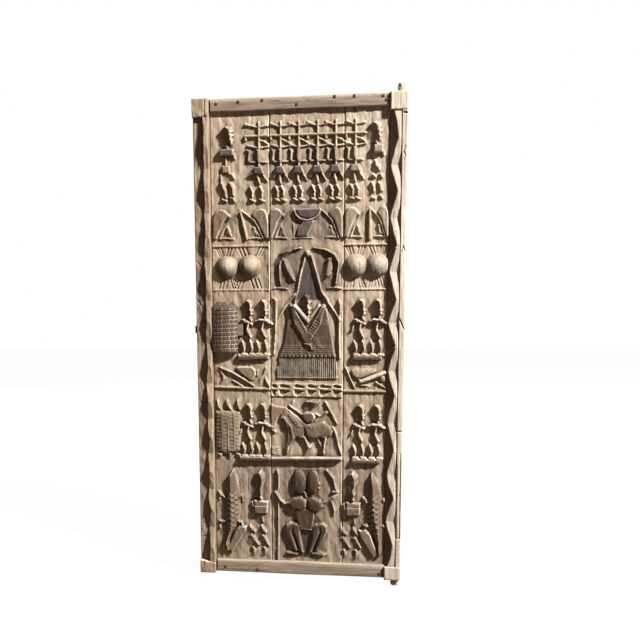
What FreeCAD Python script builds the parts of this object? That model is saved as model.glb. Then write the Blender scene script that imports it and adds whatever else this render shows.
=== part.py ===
import FreeCAD, Part
import Sketcher
import math
import os

from FreeCAD import Vector

# A carved plank door for a mud granary: three planks between two stiles, held by battens and
# staples, with a wooden tumbler lock. Millimetres, +Z up, front towards -Y, and the origin at
# the centre of the lower pivot's toe, on the line about which the door swings.

SIZES = {
    # The leaf: five timbers side by side, from left to right as seen from the front
    "leaf_height": 1620.0,
    "left_stile_width": 55.0,
    "left_plank_width": 199.0,
    "middle_plank_width": 246.0,
    "right_plank_width": 145.0,
    "right_stile_width": 55.0,
    "plank_thick": 26.0,
    # The round pivots left on the right stile, and where their axis lies in it
    "pivot_radius": 14.5,
    "toe_length": 24.0,
    "head_length": 27.0,
    "pivot_to_edge": 18.0,
    "pivot_to_back": 22.0,
    # The stiles: plain blocks at both ends, a flat outer part and a zigzag ridge between
    "block_stand": 25.0,
    "top_block_height": 57.0,
    "bottom_block_height": 46.0,
    "left_outer_stand": 8.0,
    "left_crest_stand": 31.0,
    "left_valley_stand": 14.0,
    "left_ridge_width": 18.0,
    "right_outer_stand": 23.0,
    "right_crest_stand": 27.0,
    "right_valley_stand": 13.0,
    "right_ridge_width": 35.0,
    "crest_flat_width": 8.0,
    "ridge_bevel": 7.0,
    "incised_line_width": 2.5,
    "incised_line_depth": 3.0,
    # The two battens nailed across the planks
    "rail_thick": 15.0,
    "top_rail_height": 42.0,
    "bottom_rail_height": 48.0,
    "rail_foot_gap": 3.0,
    "rail_left_gap": 5.0,
    "rail_right_gap": 0.3,
    "rail_round": 5.0,
    # Square forged nails and the flat iron staples that hold the seams at the back
    "nail_side": 3.6,
    "nail_length": 34.0,
    "nail_head_side": 9.0,
    "nail_tip_side": 4.0,
    "nail_head_height": 2.5,
    "staple_width": 7.0,
    "staple_thick": 3.0,
    "staple_span": 36.0,
    "staple_leg": 18.0,
    # The lock case, hollowed at the back for the bolt and for three tumbler pins
    "case_width": 86.0,
    "case_height": 153.0,
    "case_stand": 34.0,
    "case_side_stand": 22.0,
    "case_left_gap": 1.0,
    "case_peak_height": 20.0,
    "case_peak_depth": 20.0,
    "course_height": 14.0,
    "course_joint": 2.6,
    "course_joint_depth": 2.0,
    "pin_radius": 2.5,
    "pin_length": 34.0,
    "pin_lift": 12.0,
    "pin_pitch": 24.0,
    "first_pin_place": 29.0,
    "pin_clearance": 0.3,
    "pin_setback": 6.0,
    # The bolt: a thick body behind the case and a thin tongue through the left stile
    "bolt_rise": 56.0,
    "bolt_height": 39.0,
    "bolt_stand": 13.0,
    "bolt_groove_depth": 10.0,
    "bolt_body_length": 93.0,
    "bolt_clearance": 0.5,
    "bolt_throw": 12.0,
    "bolt_back_travel": 6.0,
    "tongue_height": 24.0,
    "tongue_thick": 12.0,
    "tongue_reach": 6.0,
    "key_way_height": 14.0,
    "key_way_depth": 8.0,
    "key_way_setback": 2.0,
    "key_way_length": 84.0,
    # The carving: how far each kind of figure stands above the planks, and its size
    "line_stand": 10.0,
    "figure_stand": 19.0,
    "head_stand": 24.0,
    "band_thick": 8.0,
    "thin_band_thick": 5.0,
    "bird_leg_thick": 13.0,
    "horse_back_thick": 14.0,
    "dancer_width": 52.0,
    "elder_width": 46.0,
    "peak_width": 150.0,
    "narrow_peak_width": 112.0,
    "bowl_width": 230.0,
    "boss_radius": 36.0,
    "boss_stand": 26.0,
    "boss_nub_radius": 5.0,
    "boss_nub_height": 4.0,
    "bird_width": 95.0,
    "bird_pole_span": 190.0,
    "robe_width": 208.0,
    "couple_width": 36.0,
    "ledge_length": 108.0,
    "bow_tie_width": 48.0,
    "crawler_width": 130.0,
    "narrow_crawler_width": 98.0,
    "granary_width": 85.0,
    "rider_width": 215.0,
    "crocodile_width": 85.0,
    "bearer_width": 62.0,
    "ancestors_width": 225.0,
    # Any cut runs past the wood by this much
    "overrun": 5.0,
}

# The lock sits at this share of the leaf's height, in a field that the carving leaves free
CASE_PLACE_SHARE = 0.48642

# Heights that follow from the sizes, worked out in the sheet's own cells
HEIGHTS = {
    "case_base": "=toe_length + leaf_height * %g" % CASE_PLACE_SHARE,
    "bolt_base": "=case_base + bolt_rise",
}

doc = FreeCAD.newDocument("granary_door")
sheet = doc.addObject("Spreadsheet::Sheet", "Sizes")
CELLS = dict(SIZES, **HEIGHTS)
for row, (alias, content) in enumerate(CELLS.items(), start=1):
    sheet.set("A%d" % row, alias)
    sheet.set("B%d" % row, str(content))
    sheet.setAlias("B%d" % row, alias)
doc.recompute()


def size(alias):
    """A driving dimension as the sheet holds it."""
    return float(sheet.get(alias))


def bind(item, bindings):
    """Tie each property to a formula of the sheet's cells, written with bare aliases."""
    for name, formula in bindings.items():
        words = formula.replace("(", "( ").replace(")", " )").split()
        item.setExpression(name, " ".join("Sizes." + w if w in CELLS else w for w in words))


def new_body(label, x, y, z):
    """An empty body whose own origin is the piece's left, rear, lower corner."""
    body = doc.addObject("PartDesign::Body", label)
    body.Label = label
    bind(body, {".Placement.Base.x": x, ".Placement.Base.y": y, ".Placement.Base.z": z})
    return body


def new_sketch(body, name, role, away=None):
    """A sketch on one of the body's origin planes, or on a plane that far along its normal."""
    sketch = body.newObject("Sketcher::SketchObject", name)
    plane = next(f for f in body.Origin.OriginFeatures if f.Role == role)
    sketch.AttachmentSupport = [(plane, "")]
    sketch.MapMode = "FlatFace"
    if away:
        bind(sketch, {".AttachmentOffset.Base.z": away})
    return sketch


def draw_rectangle(sketch, width, height, across=None, along=None):
    """A rectangle whose sides, and the offsets of its first corner, are tied to the sheet."""
    first = sketch.GeometryCount
    corners = [Vector(0, 0, 0), Vector(1, 0, 0), Vector(1, 1, 0), Vector(0, 1, 0)]
    for index, corner in enumerate(corners):
        sketch.addGeometry(Part.LineSegment(corner, corners[index - 3]), False)
    sketch.addConstraint([Sketcher.Constraint("Coincident", first + i, 2, first + (i + 1) % 4, 1)
                          for i in range(4)])
    sketch.addConstraint([Sketcher.Constraint("Horizontal", first + i) for i in (0, 2)])
    sketch.addConstraint([Sketcher.Constraint("Vertical", first + i) for i in (1, 3)])
    spans = [("DistanceX", (first, 1, first, 2), width),
             ("DistanceY", (first + 1, 1, first + 1, 2), height)]
    for kind, axis, offset in (("DistanceX", -2, across), ("DistanceY", -1, along)):
        if offset:
            spans.append((kind, (-1, 1, first, 1), offset))
        else:
            sketch.addConstraint(Sketcher.Constraint("PointOnObject", first, 1, axis))
    for kind, ends, formula in spans:
        number = sketch.addConstraint(Sketcher.Constraint(kind, *ends, 1.0))
        bind(sketch, {"Constraints[%d]" % number: formula})


def draw_outline(sketch, points):
    """A closed outline of straight sides through points worked out from the sheet."""
    corners = [Vector(x, y, 0) for x, y in points]
    for index, corner in enumerate(corners):
        sketch.addGeometry(Part.LineSegment(corners[index - 1], corner), False)


def pad(body, sketch, length, name):
    feature = body.newObject("PartDesign::Pad", name)
    feature.Profile = sketch
    bind(feature, {"Length": length})
    return feature


def pocket(body, sketch, length, name, reverse=False):
    """Cut the sketch's outlines out of the body, and make sure that wood came away."""
    doc.recompute()
    before = body.Shape.Volume
    feature = body.newObject("PartDesign::Pocket", name)
    feature.Profile = sketch
    feature.Reversed = reverse
    if length:
        bind(feature, {"Length": length})
    else:
        feature.Type = "ThroughAll"
    doc.recompute()
    assert body.Shape.Volume < before, "%s cuts nothing" % name
    return feature


def repeat(body, feature, axis, pitch, count, name):
    """Copies of one feature in a line: axis is the origin line's role, the pitch a formula."""
    pattern = body.newObject("PartDesign::LinearPattern", name)
    pattern.Originals = [feature]
    line = next(f for f in body.Origin.OriginFeatures if f.Role == axis)
    pattern.Direction = (line, [""])
    pattern.Mode = "Spacing"
    bind(pattern, {"Offset": pitch})
    pattern.Occurrences = count
    body.Tip = pattern
    return pattern


# Where each timber starts, counted from the right edge of the leaf, and the two faces
RIGHT_STILE_LEFT = "pivot_to_edge - right_stile_width"
RIGHT_PLANK_LEFT = RIGHT_STILE_LEFT + " - right_plank_width"
MIDDLE_PLANK_LEFT = RIGHT_PLANK_LEFT + " - middle_plank_width"
LEFT_PLANK_LEFT = MIDDLE_PLANK_LEFT + " - left_plank_width"
LEFT_STILE_LEFT = LEFT_PLANK_LEFT + " - left_stile_width"
FRONT_FACE = "pivot_to_back - plank_thick"


def value(formula):
    """The number that a formula of bare aliases, plus and minus comes to."""
    total, sign = 0.0, 1.0
    for word in formula.split():
        if word in "+-":
            sign = 1.0 if word == "+" else -1.0
        else:
            total += sign * size(word)
    return total


# Heights of the staples, as shares of the leaf, clear of the bolt's way
STAPLE_PLACE_SHARES = (0.12, 0.38, 0.66, 0.9)


def cut_staple_slots(body, seams):
    """Slots in the rear face for the staples' legs. Each seam is the way from the body's own
    left edge to the seam, and the side of the seam on which the leg stands."""
    reach, half = size("staple_span") / 2, size("staple_thick") / 2
    sketch = new_sketch(body, body.Label + "_staple_slots", "XZ_Plane")
    for edge, side in seams:
        middle = edge + side * (reach - half)
        for share in STAPLE_PLACE_SHARES:
            height = share * size("leaf_height")
            low, high = height - size("staple_width") / 2, height + size("staple_width") / 2
            draw_outline(sketch, [(middle - half, low), (middle + half, low),
                                  (middle + half, high), (middle - half, high)])
    pocket(body, sketch, "staple_leg", body.Label + "_staple_pocket", reverse=True)


def staple_group(label, seam):
    """Flat iron staples over one seam: a bar on the rear face and two legs driven in."""
    bars = []
    for share in STAPLE_PLACE_SHARES:
        number = len(bars)
        bar = doc.addObject("Part::Box", "%s_bar_%d" % (label, number))
        bind(bar, {"Length": "staple_span", "Width": "staple_thick", "Height": "staple_width",
                   ".Placement.Base.x": seam + " - staple_span / 2",
                   ".Placement.Base.y": "pivot_to_back",
                   ".Placement.Base.z": "toe_length + leaf_height * %g - staple_width / 2" % share})
        legs = [bar]
        for side, inset in (("left", "- staple_span / 2"), ("right", "+ staple_span / 2 - staple_thick")):
            leg = doc.addObject("Part::Box", "%s_leg_%s_%d" % (label, side, number))
            bind(leg, {"Length": "staple_thick", "Width": "staple_leg", "Height": "staple_width",
                       ".Placement.Base.x": seam + " " + inset,
                       ".Placement.Base.y": "pivot_to_back - staple_leg",
                       ".Placement.Base.z": "toe_length + leaf_height * %g - staple_width / 2" % share})
            legs.append(leg)
        whole = doc.addObject("Part::MultiFuse", "%s_%d" % (label, number))
        whole.Shapes = legs
        bars.append(whole)
    return group(label, bars)


def group(label, members):
    """Separate solids of one kind, kept together as one named piece."""
    bundle = doc.addObject("Part::Compound", label)
    bundle.Label = label
    bundle.Links = members
    return bundle


def make_left_stile():
    """The stile at the lock's side: a low outer part and a zigzag ridge along the inner edge."""
    body = new_body("left_stile", LEFT_STILE_LEFT, "pivot_to_back", "toe_length")
    board = new_sketch(body, "left_stile_face", "XZ_Plane")
    draw_rectangle(board, "left_stile_width", "leaf_height")
    pad(body, board, "plank_thick + left_outer_stand", "left_stile_board")
    add_end_blocks(body, "left_stile_width", "left_outer_stand")

    width, ridge = size("left_stile_width"), size("left_ridge_width")
    foot = -value("plank_thick + left_outer_stand")
    crest = -value("plank_thick + left_crest_stand")
    flat, bevel = size("crest_flat_width"), size("ridge_bevel")
    section = [(width, 0), (width, crest + bevel), (width - bevel, crest),
               (width - bevel - flat, crest), (width - ridge, foot), (width - ridge, 0)]
    add_ridge(body, section, LEFT_CREST_SHARES, "left_crest_stand", "left_valley_stand")

    mortise = new_sketch(body, "tongue_mortise_face", "YZ_Plane")
    gap, half = size("bolt_clearance"), size("tongue_thick") / 2
    low = value("bolt_base - toe_length") + (size("bolt_height") - size("tongue_height")) / 2
    middle = -size("pivot_to_back")
    draw_outline(mortise, [(middle - half - gap, low - gap), (middle + half + gap, low - gap),
                           (middle + half + gap, low + size("tongue_height") + gap),
                           (middle - half - gap, low + size("tongue_height") + gap)])
    pocket(body, mortise, None, "tongue_mortise", reverse=True)
    cut_staple_slots(body, [(width, -1)])
    return body


def make_right_stile():
    """The pivot stile: its round pivots are cut from the same timber as the zigzag ridge."""
    body = new_body("right_stile", RIGHT_STILE_LEFT, "pivot_to_back", "toe_length")
    board = new_sketch(body, "right_stile_section", "XY_Plane")
    width, ridge = size("right_stile_width"), size("right_ridge_width")
    outer = -value("plank_thick + right_outer_stand")
    crest = -value("plank_thick + right_crest_stand")
    flat = size("crest_flat_width")
    line, depth = size("incised_line_width"), size("incised_line_depth")
    draw_outline(board, [(0, 0), (0, -size("plank_thick")), (ridge - flat, crest), (ridge, crest),
                         (ridge, outer + depth), (ridge + line, outer + depth), (ridge + line, outer),
                         (width, outer), (width, 0)])
    pad(body, board, "leaf_height", "right_stile_board")
    cut_valleys(body, RIGHT_CREST_SHARES, "right_crest_stand", "right_valley_stand", "right_ridge_width")
    add_end_blocks(body, "right_stile_width", "right_outer_stand")

    for name, start, length, back in (("toe", None, "toe_length", True),
                                      ("head", "leaf_height", "head_length", False)):
        circle = new_sketch(body, "pivot_" + name + "_circle", "XY_Plane", start)
        centre = Vector(value("right_stile_width - pivot_to_edge"), -size("pivot_to_back"), 0)
        circle.addGeometry(Part.Circle(centre, Vector(0, 0, 1), size("pivot_radius")), False)
        pad(body, circle, length, "pivot_" + name).Reversed = back
    cut_staple_slots(body, [(0, 1)])
    return body


# Heights of the ridge's crests, as shares of the leaf. The ridge was cut by eye, so they vary.
LEFT_CREST_SHARES = (0.059, 0.147, 0.229, 0.304, 0.380, 0.457, 0.551, 0.637, 0.729, 0.818, 0.907)
RIGHT_CREST_SHARES = (0.078, 0.178, 0.281, 0.398, 0.498, 0.596, 0.704, 0.809, 0.911)


def add_end_blocks(body, width, stand):
    """The plain blocks that the stile keeps at its two ends, standing above the outer part."""
    for end, start in (("bottom", None), ("top", "leaf_height - top_block_height")):
        face = new_sketch(body, "%s_%s_block_face" % (body.Label, end), "XZ_Plane", "plank_thick")
        draw_rectangle(face, width, end + "_block_height", along=start)
        pad(body, face, "block_stand", "%s_%s_block" % (body.Label, end))


def add_ridge(body, section, crest_shares, crest_stand, valley_stand):
    """A ridge of the given section between the blocks, cut to a zigzag."""
    profile = new_sketch(body, body.Label + "_ridge_section", "XY_Plane", "bottom_block_height")
    draw_outline(profile, section)
    pad(body, profile, "leaf_height - top_block_height - bottom_block_height", body.Label + "_ridge")
    cut_valleys(body, crest_shares, crest_stand, valley_stand)


def cut_valleys(body, crest_shares, crest_stand, valley_stand, reach=None):
    """V-shaped valleys between neighbouring crests, cut across the ridge."""
    profile = new_sketch(body, body.Label + "_valley_outlines", "YZ_Plane", reach)
    crest = -value("plank_thick + " + crest_stand)
    valley = -value("plank_thick + " + valley_stand)
    height = size("leaf_height")
    for low, high in zip(crest_shares, crest_shares[1:]):
        draw_outline(profile, [(crest, low * height), (valley, (low + high) * height / 2),
                               (crest, high * height)])
    pocket(body, profile, None, body.Label + "_valleys", reverse=not reach)


def make_rail(label, base, height):
    """A batten across the three planks, its long front edges worn round."""
    body = new_body(label, LEFT_PLANK_LEFT + " + rail_left_gap", FRONT_FACE, base)
    face = new_sketch(body, label + "_face", "XZ_Plane")
    draw_rectangle(face, "left_plank_width + middle_plank_width + right_plank_width"
                   " - rail_left_gap - rail_right_gap", height)
    board = pad(body, face, "rail_thick", label + "_board")
    doc.recompute()
    front = -size("rail_thick")
    edges = ["Edge%d" % (number + 1) for number, edge in enumerate(body.Shape.Edges)
             if all(abs(v.Point.y - body.Placement.Base.y - front) < size("bolt_clearance")
                    for v in edge.Vertexes) and edge.Length > size(height)]
    worn = body.newObject("PartDesign::Fillet", label + "_worn_edges")
    worn.Base = (board, edges)
    bind(worn, {"Radius": "rail_round"})
    return body


def nail_spots(shares, rail_height, base):
    """Where a batten's nails go: shares of the batten's length and of its height."""
    length = value("left_plank_width + middle_plank_width + right_plank_width"
                   " - rail_left_gap - rail_right_gap")
    left = value(LEFT_PLANK_LEFT + " + rail_left_gap")
    return [(left + across * length, value(base) + up * size(rail_height)) for across, up in shares]


TOP_NAIL_SHARES = ((0.037, 0.58), (0.161, 0.68), (0.296, 0.73), (0.489, 0.33), (0.697, 0.80),
                   (0.805, 0.80), (0.960, 0.72), (0.978, 0.42))
BOTTOM_NAIL_SHARES = ((0.049, 0.40), (0.247, 0.27), (0.975, 0.32))
TOP_RAIL_BASE = "toe_length + leaf_height - top_rail_height"
BOTTOM_RAIL_BASE = "toe_length + rail_foot_gap"


def cut_nail_holes(body, spots, depth):
    """Square holes, through the batten or into the plank, for the nails that fall on this piece."""
    half = size("nail_side") / 2
    box = body.Shape.BoundBox
    holes = new_sketch(body, body.Label + "_nail_hole_outlines", "XZ_Plane",
                       None if depth is None else "plank_thick")
    found = 0
    for across, up in spots:
        x, z = across - body.Placement.Base.x, up - body.Placement.Base.z
        if half < x < box.XLength - half:
            draw_outline(holes, [(x - half, z - half), (x + half, z - half),
                                 (x + half, z + half), (x - half, z + half)])
            found += 1
    assert found, "no nail falls on " + body.Label
    pocket(body, holes, depth, body.Label + "_nail_holes", reverse=depth is None)


def nail_group(label, spots, face):
    """Square forged nails with low square heads on the given face, driven towards the back."""
    nails = []
    for number, (x, z) in enumerate(spots):
        shank = doc.addObject("Part::Box", "%s_shank_%d" % (label, number))
        bind(shank, {"Length": "nail_side", "Height": "nail_side", "Width": "nail_length",
                     ".Placement.Base.x": "%r - nail_side / 2" % x,
                     ".Placement.Base.z": "%r - nail_side / 2" % z,
                     ".Placement.Base.y": face})
        head = doc.addObject("Part::Wedge", "%s_head_%d" % (label, number))
        bind(head, {"Xmax": "nail_head_side", "Zmax": "nail_head_side",
                    "X2min": "nail_head_side / 2 - nail_tip_side / 2",
                    "Z2min": "nail_head_side / 2 - nail_tip_side / 2",
                    "X2max": "nail_head_side / 2 + nail_tip_side / 2",
                    "Z2max": "nail_head_side / 2 + nail_tip_side / 2",
                    "Ymax": "nail_head_height",
                    ".Placement.Base.x": "%r + nail_head_side / 2" % x,
                    ".Placement.Base.z": "%r - nail_head_side / 2" % z,
                    ".Placement.Base.y": face})
        head.Placement.Rotation = FreeCAD.Rotation(Vector(0, 0, 1), 180)
        nail = doc.addObject("Part::Fuse", "%s_%d" % (label, number))
        nail.Base, nail.Tool = shank, head
        nails.append(nail)
    return group(label, nails)


def make_board(label, left, width, spots, seams):
    """A plain plank with its nail holes and staple slots, before it is carved."""
    body = new_body(label + "_board", left, "pivot_to_back", "toe_length")
    face = new_sketch(body, label + "_face", "XZ_Plane")
    draw_rectangle(face, width, "leaf_height")
    pad(body, face, "plank_thick", label + "_plain")
    doc.recompute()
    cut_nail_holes(body, spots, "nail_length - rail_thick")
    cut_staple_slots(body, seams)
    return body


# How far the bolt's way reaches from the left plank's edge, and how high it is
BOLT_WAY_LENGTH = "case_left_gap + bolt_throw + bolt_body_length + bolt_back_travel + bolt_clearance"
BOLT_WAY_HEIGHT = "bolt_height + bolt_clearance + bolt_clearance"


def cut_bolt_groove(body):
    """The way that the bolt's rear half slides in, open to the stile's mortise."""
    groove = new_sketch(body, "bolt_groove_face", "XZ_Plane", "plank_thick")
    draw_rectangle(groove, BOLT_WAY_LENGTH, BOLT_WAY_HEIGHT,
                   along="bolt_base - toe_length - bolt_clearance")
    pocket(body, groove, "bolt_groove_depth", "bolt_groove")


def make_lock_case():
    """The wooden case: a barrel front in courses like mud bricks, with three pointed tops."""
    body = new_body("lock_case", LEFT_PLANK_LEFT + " + case_left_gap", FRONT_FACE, "case_base")
    width, side, crown = size("case_width"), -size("case_side_stand"), -size("case_stand")
    section = new_sketch(body, "lock_case_section", "XY_Plane")
    draw_barrel(section, width, 0, side, crown)
    pad(body, section, "case_height", "lock_case_block")

    points = new_sketch(body, "lock_case_peak_outlines", "XZ_Plane")
    top, each = size("case_height"), width / len(PEAK_LEAN_SHARES)
    for number, lean in enumerate(PEAK_LEAN_SHARES):
        start = number * each
        draw_outline(points, [(start, top), (start + each, top),
                              (start + each * lean, top + size("case_peak_height"))])
    pad(body, points, "case_peak_depth", "lock_case_peaks")

    joint = new_sketch(body, "course_joint_section", "XY_Plane", "course_height")
    depth = size("course_joint_depth")
    draw_barrel_rim(joint, width, side, crown, depth)
    course = body.newObject("PartDesign::Pocket", "course_joint_cut")
    course.Profile, course.Reversed = joint, True
    bind(course, {"Length": "course_joint"})
    repeat(body, course, "Z_Axis", "course_height",
           int(size("case_height") / size("course_height")) - 1, "course_joints")

    channel = new_sketch(body, "bolt_channel_face", "YZ_Plane")
    low = value("bolt_base - case_base - bolt_clearance")
    high = value("bolt_base - case_base + bolt_height + bolt_clearance")
    front = -value("bolt_stand + bolt_clearance")
    draw_outline(channel, [(0, low), (0, high), (front, high), (front, low)])
    pocket(body, channel, None, "bolt_channel", reverse=True)

    slot = new_sketch(body, "pin_slot_face", "XZ_Plane")
    draw_rectangle(slot, "pin_radius + pin_radius + pin_clearance + pin_clearance",
                   "pin_length + pin_lift + bolt_clearance + pin_clearance",
                   across="first_pin_place - pin_radius - pin_clearance",
                   along="bolt_base - case_base + bolt_height")
    cut = pocket(body, slot, "pin_setback + pin_radius + pin_clearance",
                 "pin_slot", reverse=True)
    repeat(body, cut, "X_Axis", "pin_pitch", PIN_COUNT, "pin_slots")
    return body


PIN_COUNT = 3
# Where each pointed top of the case leans, as a share of its own third
PEAK_LEAN_SHARES = (0.70, 0.60, 0.45)


# The barrel front was hewn in this many flats
BARREL_FLATS = 8


def barrel_flats(width, side, crown):
    """The corners of the flats, from the left edge over the crown to the right edge."""
    turns = [(2 * flat / BARREL_FLATS - 1) for flat in range(BARREL_FLATS + 1)]
    return [(width * (turn + 1) / 2, side + (crown - side) * (1 - turn * turn)) for turn in turns]


def draw_barrel(sketch, width, back, side, crown):
    """A flat back, two straight sides and the barrel front."""
    draw_outline(sketch, barrel_flats(width, side, crown) + [(width, back), (0, back)])


def draw_barrel_rim(sketch, width, side, crown, depth):
    """The thin band under the barrel front that a joint between two courses takes away."""
    proud = crown - size("overrun")
    draw_outline(sketch, barrel_flats(width, side + depth, crown + depth)
                 + [(width, proud), (0, proud)])


BOLT_LEFT = LEFT_STILE_LEFT + " - tongue_reach"
TONGUE_LENGTH = "tongue_reach + left_stile_width + case_left_gap + bolt_throw"


def make_bolt():
    """The sliding bolt: tongue, body, the holes that the pins drop into and the key's way."""
    body = new_body("bolt", BOLT_LEFT, FRONT_FACE + " + bolt_groove_depth - bolt_clearance", "bolt_base")
    thick = "bolt_stand + bolt_groove_depth - bolt_clearance"
    face = new_sketch(body, "bolt_body_face", "XZ_Plane")
    draw_rectangle(face, "bolt_body_length", "bolt_height", across=TONGUE_LENGTH)
    pad(body, face, thick, "bolt_block")
    inset = "pivot_to_back - plank_thick + bolt_groove_depth - bolt_clearance - tongue_thick / 2"
    tongue = new_sketch(body, "tongue_face", "XZ_Plane", inset)
    draw_rectangle(tongue, TONGUE_LENGTH, "tongue_height", along="bolt_height / 2 - tongue_height / 2")
    pad(body, tongue, "tongue_thick", "bolt_tongue")

    way = new_sketch(body, "key_way_face", "YZ_Plane", TONGUE_LENGTH + " + bolt_body_length")
    rear = value("bolt_clearance - bolt_groove_depth - key_way_setback")
    front = rear - size("key_way_depth")
    low = (size("bolt_height") - size("key_way_height")) / 2
    high = low + size("key_way_height")
    draw_outline(way, [(front, low), (rear, low), (rear, high), (front, high)])
    pocket(body, way, "key_way_length", "key_way")

    hole = new_sketch(body, "pin_hole_circle", "XY_Plane", "bolt_height")
    x = value("tongue_reach + left_stile_width + case_left_gap + first_pin_place + bolt_throw")
    y = value("bolt_clearance - bolt_groove_depth - pin_setback")
    hole.addGeometry(Part.Circle(Vector(x, y, 0), Vector(0, 0, 1),
                                 value("pin_radius + pin_clearance")), False)
    cut = pocket(body, hole, "bolt_height / 2 - key_way_height / 2", "pin_hole")
    repeat(body, cut, "X_Axis", "pin_pitch", PIN_COUNT, "pin_holes")
    return body


def make_pin(number):
    """A tumbler pin that stands on the bolt, in its slot at the back of the case."""
    pin = doc.addObject("Part::Cylinder", "tumbler_pin_%d" % (number + 1))
    pin.Label = pin.Name
    bind(pin, {"Radius": "pin_radius", "Height": "pin_length",
               ".Placement.Base.x": LEFT_PLANK_LEFT + " + case_left_gap + first_pin_place"
                                    " + pin_pitch * %d" % number,
               ".Placement.Base.y": FRONT_FACE + " - pin_setback",
               ".Placement.Base.z": "bolt_base + bolt_height + pin_clearance"})
    return pin


def both_sides(half):
    """A closed outline from its right half: the same points go back up the left side."""
    return half + [(-x, z) for x, z in reversed(half)]


def band(route, thick="band_thick"):
    """A strip of even width along a route of points."""
    return ("band", route, thick)


def oval(x, z, half_width, half_height):
    return ("oval", x, z, half_width, half_height)


# The carved figures. Each is a list of outlines, bands and ovals in shares of the figure's own
# width and height, from the middle of its foot. Hands, hair and hatching are left to the finish.
DANCER_SHARES = [
    both_sides([(0.06, 0.74), (0.06, 0.82), (0.48, 0.82), (0.48, 0.85), (0.06, 0.85), (0.06, 0.96),
                (0.48, 0.96), (0.48, 1.00)]),
    both_sides([(0.07, 0.67), (0.14, 0.71), (0.11, 0.76)]),
    both_sides([(0.05, 0.43), (0.06, 0.48), (0.15, 0.52), (0.16, 0.61), (0.22, 0.61), (0.24, 0.50),
                (0.36, 0.50), (0.36, 0.64), (0.15, 0.68)]),
    both_sides([(0.12, 0.31), (0.50, 0.31), (0.20, 0.43)]),
    both_sides([(0.08, 0.21), (0.14, 0.32)]),
    [(0.20, 0.19), (0.12, 0.12), (0.20, 0.06), (0.12, 0.0), (0.42, 0.0), (0.30, 0.06), (0.38, 0.12),
     (0.30, 0.19)],
    [(-0.30, 0.19), (-0.38, 0.12), (-0.30, 0.06), (-0.38, 0.0), (-0.08, 0.0), (-0.20, 0.06),
     (-0.12, 0.12), (-0.20, 0.19)],
]
FIGURE_SHARES = [
    both_sides([(0.14, 0.27), (0.38, 0.31), (0.36, 0.40), (0.18, 0.46), (0.28, 0.55), (0.50, 0.58),
                (0.50, 0.65), (0.12, 0.68), (0.12, 0.72)]),
    [(0.12, 0.29), (0.10, 0.20), (0.18, 0.06), (0.10, 0.0), (0.48, 0.0), (0.32, 0.06), (0.40, 0.20),
     (0.30, 0.30)],
    [(-0.30, 0.30), (-0.40, 0.20), (-0.32, 0.06), (-0.44, 0.0), (-0.10, 0.0), (-0.18, 0.06),
     (-0.10, 0.20), (-0.12, 0.29)],
]
FIGURE_HEAD_SHARES = [oval(0.05, 0.84, 0.24, 0.155)]
BEARER_BOX_SHARES = [[(-0.10, 0.53), (0.42, 0.53), (0.42, 0.62), (-0.10, 0.62)]]
PEAK_SHARES = [
    band([(0.0, 0.95), (0.10, 0.03)]),
    band([(-0.28, 0.60), (0.0, 0.97), (0.36, 0.62), (0.50, 0.05)]),
    [(-0.48, 0.0), (-0.15, 0.0), (-0.24, 0.42)],
    [(0.18, 0.0), (0.46, 0.0), (0.32, 0.42)],
    [(-0.56, 0.07), (-0.42, 0.20), (-0.28, 0.75), (-0.38, 1.00), (-0.46, 0.60)],
    [(0.56, 0.10), (0.64, 0.55), (0.60, 0.98), (0.50, 0.75), (0.44, 0.72)],
]
BOWL_SHARES = [
    [(-0.15, 0.97), (-0.13, 0.82), (-0.05, 0.72), (0.05, 0.72), (0.13, 0.82), (0.15, 0.97)],
    [(-0.07, 0.72), (-0.16, 0.11), (-0.01, 0.11), (0.07, 0.72)],
    oval(-0.05, 0.05, 0.15, 0.05),
    band([(-0.20, 0.93), (-0.36, 0.63)]),
    band([(0.18, 0.95), (0.34, 0.63), (0.40, 0.07)]),
    [(-0.48, 0.0), (-0.31, 0.0), (-0.35, 0.39)],
    [(0.20, 0.0), (0.38, 0.0), (0.27, 0.40)],
    [(-0.50, 0.10), (-0.46, 0.12), (-0.39, 0.60), (-0.44, 0.95), (-0.50, 0.60)],
    [(0.50, 0.10), (0.46, 0.12), (0.41, 0.60), (0.46, 0.95), (0.50, 0.60)],
]
BIRD_SHARES = [
    band([(0.50, 0.96), (0.13, 0.91), (-0.24, 0.79), (-0.42, 0.60), (-0.40, 0.40), (-0.27, 0.10)],
         "bird_leg_thick"),
    [(-0.19, 0.74), (0.02, 0.76), (0.23, 0.50), (0.28, 0.23), (-0.03, 0.46)],
    oval(-0.24, 0.05, 0.24, 0.04),
]
BIRD_POLE_SHARES = [
    band([(-0.05, 0.78), (-0.18, -0.12), (-0.24, -0.22)], "thin_band_thick"),
    band([(0.07, 0.80), (0.26, 0.16), (0.36, -0.12)], "thin_band_thick"),
    oval(-0.01, 0.84, 0.05, 0.05),
]
ROBE_SHARES = [
    [(-0.33, 0.84), (-0.49, 0.24), (0.45, 0.26), (0.30, 0.84), (0.18, 0.90), (-0.02, 0.66),
     (-0.22, 0.90)],
    band([(-0.57, 0.95), (-0.52, 0.80), (-0.55, 0.30)]),
    band([(0.47, 0.86), (0.50, 0.70), (0.48, 0.26)]),
]
ROBE_SKIRT_SHARES = [[(-0.49, 0.24), (-0.50, 0.0), (0.50, 0.0), (0.45, 0.26)]]
ROBE_HEAD_SHARES = [oval(-0.03, 0.85, 0.10, 0.145), [(-0.10, 0.33), (0.09, 0.33), (0.09, 0.42),
                                                     (-0.10, 0.42)]]
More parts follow.
